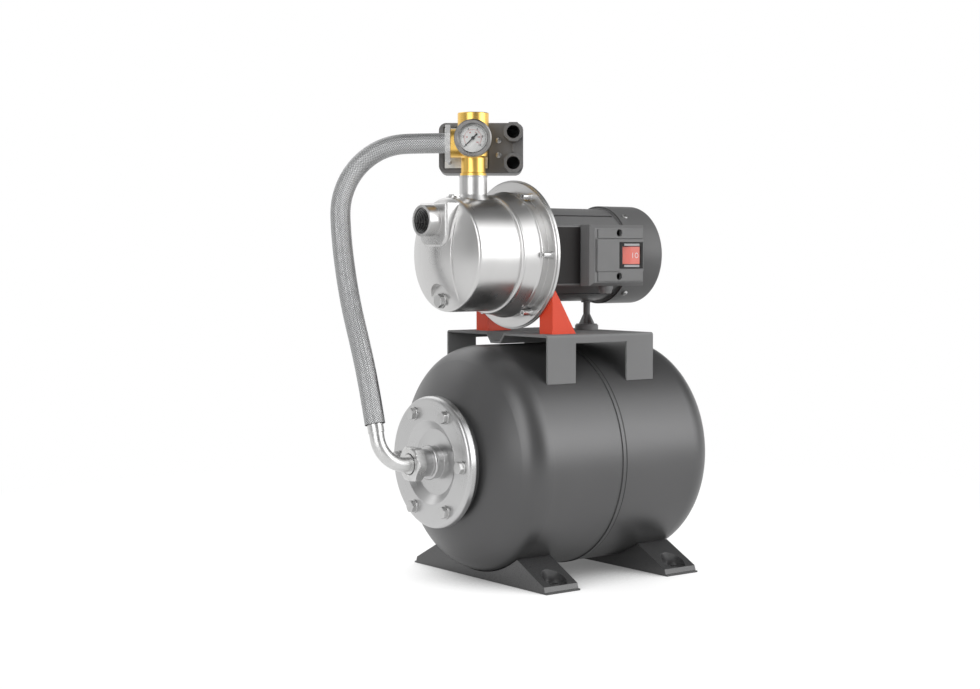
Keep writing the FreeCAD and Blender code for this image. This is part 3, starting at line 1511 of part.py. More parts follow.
node("hose_nut", onManifold(cut(
    prism(6, size.hoseNutFlats, size.hoseNutReach - size.sideReach, "+x", (size.sideReach, 0, size.sideHeight), turn=0),
    cylinder(size.portBore - 2.5 + size.fitGap, size.hoseNutReach - size.sideReach - 1 + size.fitGap + 1, "+x",
             (size.sideReach - 1, 0, size.sideHeight)),
    cylinder(size.waterway, 60, "+x", (0, 0, size.sideHeight)),
)))

# pressure gauge, drawn about the manifold's own Y
socketBack = gaugePort + size.fitGap
node("gauge_socket", onManifold(fuse(
    prism(4, size.gaugeSocket * 2, size.gaugeBack - socketBack - size.fitGap, "+y", (0, socketBack, size.gaugeHeight), turn=45),
    cylinder(size.gaugeSocket - 1 - size.fitGap, 9, "-y", (0, socketBack, size.gaugeHeight)),
    cylinder(size.gaugeSocket - 2, 6, "+y", (0, size.gaugeBack - 1, size.gaugeHeight)),
)))
gaugeLip = size.gaugeFront - 2.8
node("gauge_case", onManifold(revolved("y", (0, 0, 0), [
    (size.gaugeBack, size.gaugeSocket - 2 + size.fitGap),
    (size.gaugeBack, size.gaugeRadius - 3, -3),
    (size.gaugeBack + 3, size.gaugeRadius),
    (size.gaugeFront - 1.5, size.gaugeRadius),
    (size.gaugeFront, size.gaugeRadius - 1.5),
    (size.gaugeFront, size.gaugeWindow + 1.2),
    (size.gaugeFront - 1.2, size.gaugeWindow),
    (gaugeLip, size.gaugeWindow),
    (gaugeLip, size.gaugeInner),
    (size.gaugeBack + 1.5, size.gaugeInner),
    (size.gaugeBack + 1.5, size.gaugeSocket - 2 + size.fitGap),
]), size.gaugeHeight))
glassFront = gaugeLip - size.fitGap
node("gauge_lens", onManifold(revolved("y", (0, 0, 0), [
    (glassFront - 1, 0),
    (glassFront - 1, size.gaugeInner - 0.1),
    (glassFront, size.gaugeInner - 0.1),
    (glassFront, 0),
]), size.gaugeHeight))
dialFront = gaugeLip - 3.6
pinRadius = 1.0
node("gauge_dial", onManifold(revolved("y", (0, 0, 0), [
    (dialFront - 0.8, pinRadius + size.fitGap),
    (dialFront - 0.8, size.gaugeInner - 0.1),
    (dialFront, size.gaugeInner - 0.1),
    (dialFront, pinRadius + size.fitGap),
]), size.gaugeHeight))
needleLow, needleHigh = dialFront + 0.5, dialFront + 1.3
needleTurn = math.radians(225)
along = (math.cos(needleTurn), math.sin(needleTurn))
tip, tail, halfTip, halfTail = size.needleReach, size.needleReach / 2, 0.35, 1.0


def needleCorner(reach, aside):
    # local X points to the left of the face and Z up; the needle rests at its lower left
    return (reach * -along[0] - aside * along[1], reach * along[1] - aside * along[0])


needleBlade = extruded("xz", needleLow, needleHigh, [
    needleCorner(tip, halfTip),
    needleCorner(tip, -halfTip),
    needleCorner(-tail, -halfTail),
    needleCorner(-tail, halfTail),
])
node("gauge_needle", onManifold(fuse(
    needleBlade,
    cylinder(2, 1.4, "+y", (0, needleLow, 0)),
    cylinder(pinRadius, 5, "-y", (0, needleLow + 0.1, 0)),
), size.gaugeHeight))

# pressure switch behind the manifold, its base towards the front and its cover behind
middle = (size.boxLow + size.boxHigh) / 2


def roundedPlate(inset, near, deep):
    """A round-cornered block of the switch's outline, pulled in all round by an inset."""
    x0, x1 = -size.boxGlandSide + inset, size.boxHoseSide - inset
    z0, z1 = size.boxLow + inset, size.boxHigh - inset
    radius = size.boxCorner - inset
    return extruded("xz", -term(deep), -term(near), [
        (x0 + radius, z0),
        (x1 - radius, z0, radius),
        (x1, z0 + radius),
        (x1, z1 - radius, radius),
        (x1 - radius, z1),
        (x0 + radius, z1, radius),
        (x0, z1 - radius),
        (x0, z0 + radius, radius),
    ])


splitDeep = size.baseDeep + size.fitGap
entries = ((-size.entryPlace, size.entryHigh), (-size.entryPlace, size.entryLow))
switchScrews = ((-size.switchScrewPlace, size.switchScrewHigh), (-size.switchScrewPlace, size.switchScrewLow))
zincX = (-size.zincGland, size.zincHose)
zincZ = (middle - size.zincHalf, middle + size.zincHalf)
zincBack = -(size.boxNear + size.zincThick + 1)
node("switch_base", onManifold(cut(
    roundedPlate(0, size.boxNear, size.baseDeep),
    roundedPlate(size.boxShell, size.boxNear + size.boxShell + 3, size.baseDeep + 1),
    box((zincX[0] - 1.5, zincBack, zincZ[0] - 1.5), (zincX[1] + 1.5, -size.boxNear + 1, zincZ[1] + 1.5)),
    *[cylinder(size.entryBore + 2 + size.fitGap, 40, "-y", (x, -size.boxNear + 1, z)) for x, z in entries],
    *[cylinder(2.05, 40, "-y", (x, -size.boxNear + 1, z)) for x, z in switchScrews],
)))
node("switch_cover", onManifold(cut(
    roundedPlate(0, splitDeep, size.coverDeep),
    roundedPlate(size.boxShell, splitDeep - 1, size.coverDeep - size.boxShell),
)))
plateFace = zincBack + size.zincThick
node("switch_plate", onManifold(cut(
    fuse(
        box((zincX[0], zincBack, zincZ[0]), (zincX[1], plateFace, zincZ[1])),
        cylinder(13, 3, "+y", (0, plateFace, size.sideHeight)),
        prism(6, 19, 6, "+y", (0, plateFace + 3, size.sideHeight)),
        cylinder(size.gaugeSocket - 1 - size.fitGap, 22, "+y", (0, plateFace + 3, size.sideHeight)),
    ),
    cylinder(3, 60, "+y", (0, -size.boxNear - 10, size.sideHeight)),
)))
entryNear = -size.boxNear
node("switch_glands", onManifold(fuse(*[
    cut(
        fuse(
            prism(8, size.entryRadius * 2 * math.cos(math.pi / 8), size.entryReach, "+y", (x, entryNear + size.fitGap, z), turn=22.5),
            cylinder(size.entryBore + 2, size.boxShell + 6, "-y", (x, entryNear + size.fitGap, z)),
        ),
        cylinder(size.entryBore, 60, "-y", (x, entryNear + size.entryReach + 1, z)),
    )
    for x, z in entries
])))
node("switch_screws", onManifold(fuse(*[
    fuse(
        cylinder(size.switchScrewHead, 2, "+y", (x, entryNear, z)),
        cylinder(2, 14, "-y", (x, entryNear + 0.1, z)),
    )
    for x, z in switchScrews
])))


# braided hose from the manifold's side port over to the elbow: straight runs joined by tangent arcs
def manifoldPoint(t, z):
    turn = math.radians(size.manifoldTurn.number)
    return Vector(-size.outletPlace.number + t * math.cos(turn), t * math.sin(turn), z)


lean = math.radians(size.elbowTurn.number)
armWay = Vector(0, math.sin(lean), math.cos(lean))
armEnd = Vector(-size.elbowPlace.number, 0, size.tankAxis.number) + armWay * armTop.number
route = [
    manifoldPoint(size.hoseNutReach.number, size.sideHeight.number),
    manifoldPoint(54.5, size.sideHeight.number),
    Vector(-204.6, 61.1, 516.0),
    Vector(-233.7, 83.2, 492.0),
    Vector(-253.0, 90.0, 452.9),
    Vector(-254.5, 84.5, 407.0),
    Vector(-254.5, 75.5, 365.0),
    Vector(-254.5, 62.5, 323.0),
    Vector(-254.5, 43.8, 281.0),
    armEnd + armWay * 46.0,
    armEnd,
]


def cordTube(points, radius):
    edges, start = [], points[0]
    for before, corner, after in zip(points, points[1:], points[2:]):
        inWay, outWay = (corner - before).normalize(), (after - corner).normalize()
        half = inWay.getAngle(outWay) / 2
        run = 0.45 * min((corner - before).Length, (after - corner).Length)
        arcStart, arcEnd = corner - inWay * run, corner + outWay * run
        bisector = (outWay - inWay).normalize()
        arcRadius = run / math.tan(half)
        middlePoint = corner + bisector * (arcRadius / math.cos(half) - arcRadius)
        edges.append(Part.LineSegment(start, arcStart).toShape())
        edges.append(Part.Arc(arcStart, middlePoint, arcEnd).toShape())
        print(f"hose bend radius {arcRadius:.0f} mm")
        start = arcEnd
    edges.append(Part.LineSegment(start, points[-1]).toShape())
    path = Part.Wire(edges)
    circle = Part.Wire(Part.Circle(points[0], (points[1] - points[0]).normalize(), radius).toShape())
    solid = path.makePipeShell([circle], True, True)
    expected = math.pi * radius ** 2 * path.Length
    print(f"hose length {path.Length:.1f} mm, volume {solid.Volume / expected:.4f} of section times length")
    return solid


hose = doc.addObject("Part::Feature", "Hose")
hose.Shape = cordTube(route, size.hoseRadius.number)
node("braided_hose", hose)

doc.recompute()

# checks before anything is written
problems = [thing.Name for thing in doc.Objects if "Invalid" in thing.State or "Error" in thing.State]
for name, thing in nodes.items():
    if thing.Shape.isNull() or not thing.Shape.isValid() or not thing.Shape.Solids:
        problems.append(name)
if problems:
    raise SystemExit("not sound: " + ", ".join(problems))

os.makedirs("parts", exist_ok=True)
for name, thing in nodes.items():
    thing.Shape.exportStep(f"parts/{name}.step")
print(f"{len(nodes)} nodes written")
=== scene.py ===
import math

import bmesh
import bpy
import numpy as np
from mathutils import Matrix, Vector


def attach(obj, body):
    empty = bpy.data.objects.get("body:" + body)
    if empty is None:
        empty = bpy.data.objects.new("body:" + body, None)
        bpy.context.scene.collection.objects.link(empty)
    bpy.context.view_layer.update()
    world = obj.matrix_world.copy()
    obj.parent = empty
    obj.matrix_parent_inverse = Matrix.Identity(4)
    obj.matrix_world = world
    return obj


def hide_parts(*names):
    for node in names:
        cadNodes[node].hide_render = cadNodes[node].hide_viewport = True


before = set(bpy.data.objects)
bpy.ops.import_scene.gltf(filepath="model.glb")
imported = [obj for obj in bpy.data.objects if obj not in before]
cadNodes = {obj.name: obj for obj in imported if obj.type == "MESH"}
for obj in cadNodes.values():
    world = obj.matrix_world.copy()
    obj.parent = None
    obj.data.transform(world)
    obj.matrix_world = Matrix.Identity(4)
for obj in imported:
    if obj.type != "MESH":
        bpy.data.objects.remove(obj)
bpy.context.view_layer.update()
print("frame loaded:", len(cadNodes), "nodes")


# small tools for meshes and node trees

# points nearer to each other than this, in metres, count as one
mergeDistance = 0.0000005


def arrayMesh(name, points, faces, smooth=True):
    # points (n, 3) and faces (m, 3 or 4) go into the mesh as whole arrays
    mesh = bpy.data.meshes.new(name)
    mesh.from_pydata(np.asarray(points, dtype=float).reshape(-1, 3), [], np.asarray(faces).tolist())
    mesh.validate()
    mesh.update()
    mesh.polygons.foreach_set("use_smooth", np.full(len(mesh.polygons), smooth))
    piece = bpy.data.objects.new(name, mesh)
    bpy.context.scene.collection.objects.link(piece)
    return piece


def closeMesh(piece):
    # merges the points of poles and seams, drops faces without area and turns the rest outwards
    shell = bmesh.new()
    shell.from_mesh(piece.data)
    bmesh.ops.remove_doubles(shell, verts=shell.verts, dist=mergeDistance)
    bmesh.ops.dissolve_degenerate(shell, edges=shell.edges, dist=mergeDistance)
    bmesh.ops.recalc_face_normals(shell, faces=shell.faces)
    shell.to_mesh(piece.data)
    shell.free()
    piece.data.update()


def gridFaces(rows, columns, closeRows=False, closeColumns=False):
    # quads between neighbouring rows and columns of a grid, wrapped round where it closes
    r = np.arange(rows if closeRows else rows - 1)
    c = np.arange(columns if closeColumns else columns - 1)
    r, c = [a.ravel() for a in np.meshgrid(r, c, indexing="ij")]
    rNext, cNext = (r + 1) % rows, (c + 1) % columns
    return np.stack([r * columns + c, rNext * columns + c, rNext * columns + cNext,
                     r * columns + cNext], 1)


def basisFor(direction):
    # two directions across the one given
    w = np.asarray(direction, float)
    w = w / np.linalg.norm(w)
    u = np.cross(w, [0, 0, 1.0]) if abs(w[2]) < 0.9 else np.cross(w, [0, 1.0, 0])
    u = u / np.linalg.norm(u)
    return u, np.cross(w, u), w


def joinArrays(parts):
    # several (points, faces) become one, the faces of each counted on from the last
    points, faces, start = [], [], 0
    for p, f in parts:
        p = np.asarray(p).reshape(-1, 3)
        points.append(p)
        faces.append(np.asarray(f) + start)
        start += len(p)
    return np.concatenate(points), np.concatenate(faces)


def addNode(tree, kind, **settings):
    # a setting is a socket's value where the node has a socket of that name
    node = tree.nodes.new(kind)
    for key, value in settings.items():
        if key in node.inputs:
            node.inputs[key].default_value = value
        else:
            setattr(node, key, value)
    return node


def mathNode(tree, operation, a, b=None):
    node = addNode(tree, "ShaderNodeMath", operation=operation)
    for i, value in enumerate((a, b)):
        if value is None:
            continue
        if isinstance(value, (int, float)):
            node.inputs[i].default_value = value
        else:
            tree.links.new(value, node.inputs[i])
    return node.outputs[0]


def vectorNode(tree, operation, a, b=None):
    node = addNode(tree, "ShaderNodeVectorMath", operation=operation)
    tree.links.new(a, node.inputs[0])
    if b is not None:
        node.inputs[1].default_value = b
    return node.outputs["Value" if operation in ("LENGTH", "DOT_PRODUCT") else "Vector"]


def splitNode(tree, vector):
    node = addNode(tree, "ShaderNodeSeparateXYZ")
    tree.links.new(vector, node.inputs[0])
    return node.outputs


def rangeNode(tree, value, low, high, newLow=0.0, newHigh=1.0, kind="LINEAR"):
    node = addNode(tree, "ShaderNodeMapRange", interpolation_type=kind)
    tree.links.new(value, node.inputs["Value"])
    for key, number in (("From Min", low), ("From Max", high), ("To Min", newLow), ("To Max", newHigh)):
        node.inputs[key].default_value = number
    return node.outputs[0]


def rampNode(tree, value, stops):
    # a ramp of greys, each stop (place, grey)
    node = addNode(tree, "ShaderNodeValToRGB")
    ramp = node.color_ramp
    while len(ramp.elements) < len(stops):
        ramp.elements.new(0.5)
    for element, (place, grey) in zip(ramp.elements, stops):
        element.position = place
        element.color = (grey, grey, grey, 1)
    tree.links.new(value, node.inputs[0])
    return node.outputs[0]


def noiseNode(tree, vector, scale, detail=2.0, rough=0.5):
    node = addNode(tree, "ShaderNodeTexNoise", Scale=scale, Detail=detail, Roughness=rough)
    tree.links.new(vector, node.inputs["Vector"])
    return node.outputs["Fac"]


def mixColours(tree, factor, a, b):
    node = addNode(tree, "ShaderNodeMix", data_type="RGBA")
    tree.links.new(factor, node.inputs[0])
    for socket, value in ((node.inputs[6], a), (node.inputs[7], b)):
        if isinstance(value, tuple):
            socket.default_value = (*value, 1)
        else:
            tree.links.new(value, socket)
    return node.outputs[2]


def mixShaders(tree, factor, a, b):
    node = addNode(tree, "ShaderNodeMixShader")
    for socket, value in zip(node.inputs, (factor, a, b)):
        tree.links.new(value, socket)
    return node.outputs[0]


def newFinish(name, look):
    material = bpy.data.materials.new(name)
    material.use_nodes = True
    tree = material.node_tree
    shader = tree.nodes["Principled BSDF"]
    shader.inputs["Metallic"].default_value = look.get("metallic", 0.0)
    shader.inputs["IOR"].default_value = look.get("ior", 1.45)
    shader.inputs["Specular IOR Level"].default_value = look.get("specular", 0.5)
    if "coat" in look:
        shader.inputs["Coat Weight"].default_value = look["coat"]
        shader.inputs["Coat Roughness"].default_value = look["coatRough"]
    place = addNode(tree, "ShaderNodeTexCoord").outputs["Object"]
    return material, tree, shader, place


def addBump(tree, shader, height, depth, edgeRound=0.0):
    bump = addNode(tree, "ShaderNodeBump", Strength=1.0, Distance=depth)
    tree.links.new(height, bump.inputs["Height"])
    if edgeRound:
        bevel = addNode(tree, "ShaderNodeBevel", samples=4, Radius=edgeRound)
        tree.links.new(bevel.outputs[0], bump.inputs["Normal"])
    tree.links.new(bump.outputs[0], shader.inputs["Normal"])


def shade(colour, factor):
    return tuple(min(1.0, c * factor) for c in colour)


# finishes

def spread(tree, noise, low, high):
    # most of a noise lies between 0.3 and 0.7, and that is stretched to the two limits
    return rangeNode(tree, noise, 0.3, 0.7, low, high)


def roughAbout(tree, noise, look, below, above):
    return spread(tree, noise, look["rough"] - below, look["rough"] + above)


def twoTones(tree, noise, look, usual):
    # the colour drifts to both sides of the one given
    shift = look.get("shift", usual)
    return mixColours(tree, spread(tree, noise, 0.0, 1.0), shade(look["colour"], 1 - shift),
                      shade(look["colour"], 1 + shift))


def setSurface(tree, shader, colour, rough):
    tree.links.new(colour, shader.inputs["Base Color"])
    tree.links.new(rough, shader.inputs["Roughness"])


def distanceFrom(tree, place, centre, axis):
    # how far a place lies from the line through centre along the axis
    moved = vectorNode(tree, "SUBTRACT", place, centre)
    across = [0.0 if letter == axis else 1.0 for letter in "xyz"]
    return vectorNode(tree, "LENGTH", vectorNode(tree, "MULTIPLY", moved, across))


def paintedFinish(name, look):
    # two tones drift slowly over the surface, a fine grain gives the powder coat its texture
    material, tree, shader, place = newFinish(name, look)
    drift = noiseNode(tree, place, look.get("driftScale", 9.0), 3.0)
    grain = noiseNode(tree, place, look.get("grainScale", 1500.0))
    colour = twoTones(tree, drift, look, 0.12)
    if "deep" in look:
        # painted shade: the colour darkens where the surface lies close to the axis, as shade falls in
        # grooves and inside a hood, whose end wall past "until" keeps its full colour
        deep = look["deep"]
        outer = rangeNode(tree, distanceFrom(tree, place, deep["centre"], "x"), deep["from"], deep["to"])
        if "until" in deep:
            beyond = rangeNode(tree, splitNode(tree, place)[0], deep["until"], deep["until"] + 0.002)
            outer = mathNode(tree, "MAXIMUM", outer, beyond)
        colour = mixColours(tree, outer, shade(look["colour"], deep["tone"]), colour)
    rough = mathNode(tree, "ADD", spread(tree, grain, -0.05, 0.05),
                     roughAbout(tree, drift, look, 0.03, 0.03))
    setSurface(tree, shader, colour, rough)
    addBump(tree, shader, grain, look.get("grainDepth", 0.00002), look.get("edgeRound", 0.0))
    return material


def turnedFinish(name, look):
    # fine rings about an axis: the pattern depends on the place along the axis and the distance from it
    material, tree, shader, place = newFinish(name, {**look, "metallic": 1.0})
    moved = vectorNode(tree, "SUBTRACT", place, look["centre"])
    joined = addNode(tree, "ShaderNodeCombineXYZ")
    tree.links.new(splitNode(tree, moved)["xyz".index(look["axis"])], joined.inputs[0])
    tree.links.new(distanceFrom(tree, place, look["centre"], look["axis"]), joined.inputs[1])
    lines = noiseNode(tree, joined.outputs[0], look["lineScale"])
    cloud = noiseNode(tree, place, 14.0, 3.0)
    speck = noiseNode(tree, place, 900.0, 1.0)
    rough = mathNode(tree, "ADD",
                     rangeNode(tree, lines, 0.25, 0.75, -look["lineRough"], look["lineRough"]),
                     roughAbout(tree, cloud, look, 0.03, 0.04))
    setSurface(tree, shader, twoTones(tree, cloud, look, 0.06), rough)
    height = mathNode(tree, "ADD", lines, mathNode(tree, "MULTIPLY", speck, 0.35))
    addBump(tree, shader, height, look["lineDepth"], look.get("edgeRound", 0.0))
    return material


def metalFinish(name, look):
    # plated or polished metal: a faint mottle of its tone, gloss and height
    material, tree, shader, place = newFinish(name, {**look, "metallic": 1.0})
    mottle = noiseNode(tree, place, look.get("mottleScale", 120.0), 4.0, 0.6)
    cloud = noiseNode(tree, place, 20.0)
    rough = mathNode(tree, "ADD", spread(tree, mottle, -0.04, 0.04),
                     roughAbout(tree, cloud, look, 0.03, 0.03))
    setSurface(tree, shader, twoTones(tree, mottle, look, 0.08), rough)
    addBump(tree, shader, mottle, look.get("mottleDepth", 0.00003), look.get("edgeRound", 0.0))
    return material


def threadFinish(name, look):
    # painted light: the crests of a thread are coloured bright as a painted highlight, its roots nearly black
    # as painted shade
    material, tree, shader, place = newFinish(name, {**look, "metallic": 1.0})
    reach = distanceFrom(tree, place, look["centre"], "x")
    crestLight = rangeNode(tree, reach, look["crest"], look["root"], 1.0, 0.0)
    colour = mixColours(tree, crestLight, shade(look["colour"], 0.06), look["colour"])
    setSurface(tree, shader, colour, roughAbout(tree, noiseNode(tree, place, 500.0), look, 0.05, 0.08))
    return material


def mouldedFinish(name, look):
    # moulded plastic: an even spark-eroded grain and a slightly cloudy tone
    material, tree, shader, place = newFinish(name, look)
    voronoi = addNode(tree, "ShaderNodeTexVoronoi", feature="SMOOTH_F1",
                      Scale=look.get("grainScale", 1200.0))
    tree.links.new(place, voronoi.inputs["Vector"])
    grain = voronoi.outputs["Distance"]
    cloud = noiseNode(tree, place, 30.0)
    rough = mathNode(tree, "ADD", rangeNode(tree, grain, 0.0, 0.8, -0.05, 0.06),
                     roughAbout(tree, cloud, look, 0.03, 0.03))
    setSurface(tree, shader, twoTones(tree, cloud, look, 0.1), rough)
    if "glow" in look:
        shader.inputs["Subsurface Weight"].default_value = look["glow"]
        shader.inputs["Subsurface Scale"].default_value = 0.003
    addBump(tree, shader, grain, look.get("grainDepth", 0.00003), look.get("edgeRound", 0.0))
    return material


def stackedFinish(name, look):
    # a core of thin sheets: narrow bands along the shaft, with a scale of dark oxide
    material, tree, shader, place = newFinish(name, look)
    turns = mathNode(tree, "MULTIPLY", splitNode(tree, place)[0], look["bandsPerMetre"] * 2 * math.pi)
    bands = mathNode(tree, "SINE", turns)
    colour = mixColours(tree, rangeNode(tree, bands, -1.0, 1.0), look["colour"],
                        shade(look["colour"], 0.5))
    cloud = noiseNode(tree, place, 60.0, 3.0)
    setSurface(tree, shader, colour, roughAbout(tree, cloud, look, 0.08, 0.08))
    addBump(tree, shader, bands, look["depth"])
    return material


def woundFinish(name, look):
    # varnished wires laid side by side round the end turns
    material, tree, shader, place = newFinish(name, look)
    wave = addNode(tree, "ShaderNodeTexWave", bands_direction="X", Scale=look["wireScale"],
                   Distortion=2.5)
    wave.inputs["Detail Scale"].default_value = 3.0
    tree.links.new(place, wave.inputs["Vector"])
    wires = wave.outputs["Fac"]
    colour = mixColours(tree, wires, shade(look["colour"], 0.45), look["colour"])
    setSurface(tree, shader, colour, roughAbout(tree, noiseNode(tree, place, 80.0), look, 0.06, 0.08))
    addBump(tree, shader, wires, look["depth"])
    return material


def glassFinish(name, look):
    # clear flat glass: mostly see-through, so that the dial below keeps its light
    material, tree, shader, place = newFinish(name, look)
    shader.inputs["Base Color"].default_value = (*look["colour"], 1)
    shader.inputs["Alpha"].default_value = look["alpha"]
    wave = noiseNode(tree, place, 60.0, 1.0)
    tree.links.new(spread(tree, wave, 0.0, 0.03), shader.inputs["Roughness"])
    addBump(tree, shader, wave, 0.000004)
    return material


pumpAxis = (0.0, 0.0, 0.3861)
tankAxis = (0.0, 0.0, 0.1441)
outletAxis = (-0.124, 0.0, 0.0)

tankPaint = paintedFinish("tankPaint", {
    "colour": (0.12, 0.12, 0.1215), "metallic": 0.6, "rough": 0.37, "shift": 0.04, "edgeRound": 0.0008})
footPaint = paintedFinish("footPaint", {
    "colour": (0.055, 0.055, 0.056), "rough": 0.3, "coat": 0.5, "coatRough": 0.12, "shift": 0.05,
    "edgeRound": 0.0012})
bracketPaint = paintedFinish("bracketPaint", {
    "colour": (0.28, 0.28, 0.282), "specular": 0.0, "rough": 0.7, "shift": 0.05, "edgeRound": 0.0008})
legPaint = paintedFinish("legPaint", {
    "colour": (0.85, 0.068, 0.022), "rough": 0.42, "grainDepth": 0.00003, "shift": 0.04,
    "edgeRound": 0.0009})
motorPaint = paintedFinish("motorPaint", {
    "colour": (0.17, 0.17, 0.171), "rough": 0.36, "grainScale": 1300.0, "grainDepth": 0.00003,
    # painted shade in the grooves between the housing's ribs
    "deep": {"centre": pumpAxis, "from": 0.0545, "to": 0.0562, "tone": 0.2},
    "shift": 0.08, "edgeRound": 0.0005})
fanCoverPaint = paintedFinish("fanCoverPaint", {
    "colour": (0.14, 0.14, 0.141), "rough": 0.4, "grainScale": 1400.0, "grainDepth": 0.00003,
    # painted shade inside the fan cover's hood, up to its end wall
    "deep": {"centre": pumpAxis, "from": 0.0593, "to": 0.0601, "tone": 0.12, "until": 0.112},
    "shift": 0.06, "edgeRound": 0.0005})
casingSteel = turnedFinish("casingSteel", {
    "colour": (0.60, 0.597, 0.593), "rough": 0.3, "axis": "x", "centre": pumpAxis,
    "lineScale": 1100.0, "lineRough": 0.03, "lineDepth": 0.000002, "edgeRound": 0.0011})
adapterSteel = turnedFinish("adapterSteel", {
    "colour": (0.58, 0.58, 0.577), "rough": 0.32, "axis": "x", "centre": pumpAxis,
    "lineScale": 1100.0, "lineRough": 0.03, "lineDepth": 0.000003, "edgeRound": 0.0008})
flangeSteel = turnedFinish("flangeSteel", {
    "colour": (0.53, 0.53, 0.53), "rough": 0.3, "axis": "x", "centre": tankAxis,
    "lineScale": 900.0, "lineRough": 0.03, "lineDepth": 0.000003, "edgeRound": 0.0014})
shaftSteel = turnedFinish("shaftSteel", {
    "colour": (0.52, 0.52, 0.52), "rough": 0.2, "axis": "x", "centre": pumpAxis,
    "lineScale": 2500.0, "lineRough": 0.05, "lineDepth": 0.00001})
brightBrass = turnedFinish("brightBrass", {
    "colour": (0.93, 0.60, 0.155), "rough": 0.29, "axis": "z", "centre": outletAxis,
    "lineScale": 1800.0, "lineRough": 0.04, "lineDepth": 0.000003, "shift": 0.04, "edgeRound": 0.0007})
boltSteel = metalFinish("boltSteel", {
    "colour": (0.60, 0.60, 0.60), "rough": 0.28, "mottleDepth": 0.00001, "edgeRound": 0.0003})
nutSteel = metalFinish("nutSteel", {
    "colour": (0.68, 0.68, 0.675), "rough": 0.25, "mottleDepth": 0.00001, "edgeRound": 0.0004})
elbowSteel = metalFinish("elbowSteel", {
    "colour": (0.62, 0.62, 0.616), "rough": 0.34, "mottleDepth": 0.00001, "edgeRound": 0.0006})
valveBrass = metalFinish("valveBrass", {"colour": (0.62, 0.46, 0.2), "rough": 0.3, "edgeRound": 0.0004})
zincPlate = metalFinish("zincPlate", {
    "colour": (0.56, 0.555, 0.53), "rough": 0.34, "mottleScale": 260.0, "shift": 0.12,
    "edgeRound": 0.0005})
gaugeSteel = metalFinish("gaugeSteel", {
    "colour": (0.28, 0.275, 0.27), "rough": 0.3, "edgeRound": 0.0006})
sealSteel = metalFinish("sealSteel", {"colour": (0.45, 0.45, 0.45), "rough": 0.3})
screwSteel = metalFinish("screwSteel", {
    "colour": (0.36, 0.36, 0.36), "rough": 0.36, "mottleDepth": 0.00001})
crispSteel = metalFinish("crispSteel", {
    "colour": (0.62, 0.62, 0.616), "rough": 0.31, "mottleDepth": 0.000005})
hexSteel = metalFinish("hexSteel", {
    "colour": (0.55, 0.55, 0.547), "rough": 0.37, "mottleDepth": 0.000005, "edgeRound": 0.0003})
# painted shade: near-black screw heads that stand in for the shade in the terminal screws' recesses
screwShadeBlack = metalFinish("screwShadeBlack", {"colour": (0.03, 0.03, 0.031), "rough": 0.4})
# painted highlight on the thread's crests and painted shade in its roots
threadSteel = threadFinish("threadSteel", {
    "colour": (0.5, 0.5, 0.5), "rough": 0.3, "centre": (-0.18, 0, 0.42555), "crest": 0.0140,
    "root": 0.0146})
sealCeramic = mouldedFinish("sealCeramic", {
    "colour": (0.75, 0.74, 0.7), "rough": 0.2, "grainScale": 2500.0, "grainDepth": 0.000005})
membraneRubber = mouldedFinish("membraneRubber", {
    "colour": (0.022, 0.022, 0.022), "rough": 0.62, "grainScale": 900.0, "grainDepth": 0.00006})
boxPlastic = mouldedFinish("boxPlastic", {
    "colour": (0.19, 0.19, 0.191), "rough": 0.4, "grainScale": 1600.0, "shift": 0.05,
    "edgeRound": 0.0008})
bezelPlastic = mouldedFinish("bezelPlastic", {
    "colour": (0.018, 0.018, 0.0185), "rough": 0.35, "specular": 0.2, "grainScale": 1600.0,
    "grainDepth": 0.00002, "edgeRound": 0.0004})
switchPlastic = mouldedFinish("switchPlastic", {
    "colour": (0.18, 0.18, 0.182), "rough": 0.42, "grainScale": 1500.0, "grainDepth": 0.00004,
    "shift": 0.06, "edgeRound": 0.0008})
innerPlastic = mouldedFinish("innerPlastic", {"colour": (0.05, 0.05, 0.05), "rough": 0.4})
impellerPlastic = mouldedFinish("impellerPlastic", {"colour": (0.1, 0.1, 0.105), "rough": 0.36})
fanPlastic = mouldedFinish("fanPlastic", {"colour": (0.04, 0.04, 0.042), "rough": 0.4})
capPlastic = mouldedFinish("capPlastic", {
    "colour": (0.03, 0.03, 0.031), "rough": 0.45, "grainDepth": 0.00004})
capacitorPlastic = mouldedFinish("capacitorPlastic", {
    "colour": (0.62, 0.62, 0.6), "rough": 0.35, "grainScale": 1500.0, "grainDepth": 0.00002})
rockerPlastic = mouldedFinish("rockerPlastic", {
    "colour": (0.86, 0.21, 0.17), "rough": 0.2, "grainScale": 2200.0, "grainDepth": 0.000008,
    "glow": 0.25, "shift": 0.04, "edgeRound": 0.0007})
trimGrey = mouldedFinish("trimGrey", {
    "colour": (0.42, 0.42, 0.43), "rough": 0.3, "grainScale": 2200.0, "grainDepth": 0.00001,
    "shift": 0.04})
# near-black foil; its faint red tint is a painted reflection of the red legs
plateFoil = paintedFinish("plateFoil", {
    "colour": (0.008, 0.006, 0.0058), "rough": 0.62, "grainScale": 2000.0, "grainDepth": 0.00001,
    "shift": 0.2, "driftScale": 22.0})
dialEnamel = paintedFinish("dialEnamel", {
    "colour": (0.96, 0.96, 0.95), "rough": 0.35, "grainScale": 2500.0, "grainDepth": 0.000005,
    "shift": 0.02})
needleLacquer = paintedFinish("needleLacquer", {
    "colour": (0.015, 0.015, 0.015), "rough": 0.4, "grainScale": 2500.0, "grainDepth": 0.000005})
blackPrint = paintedFinish("blackPrint", {
    "colour": (0.02, 0.02, 0.02), "rough": 0.5, "grainScale": 3000.0, "grainDepth": 0.000003})
redPrint = paintedFinish("redPrint", {
    "colour": (0.6, 0.05, 0.04), "rough": 0.5, "grainScale": 3000.0, "grainDepth": 0.000003})
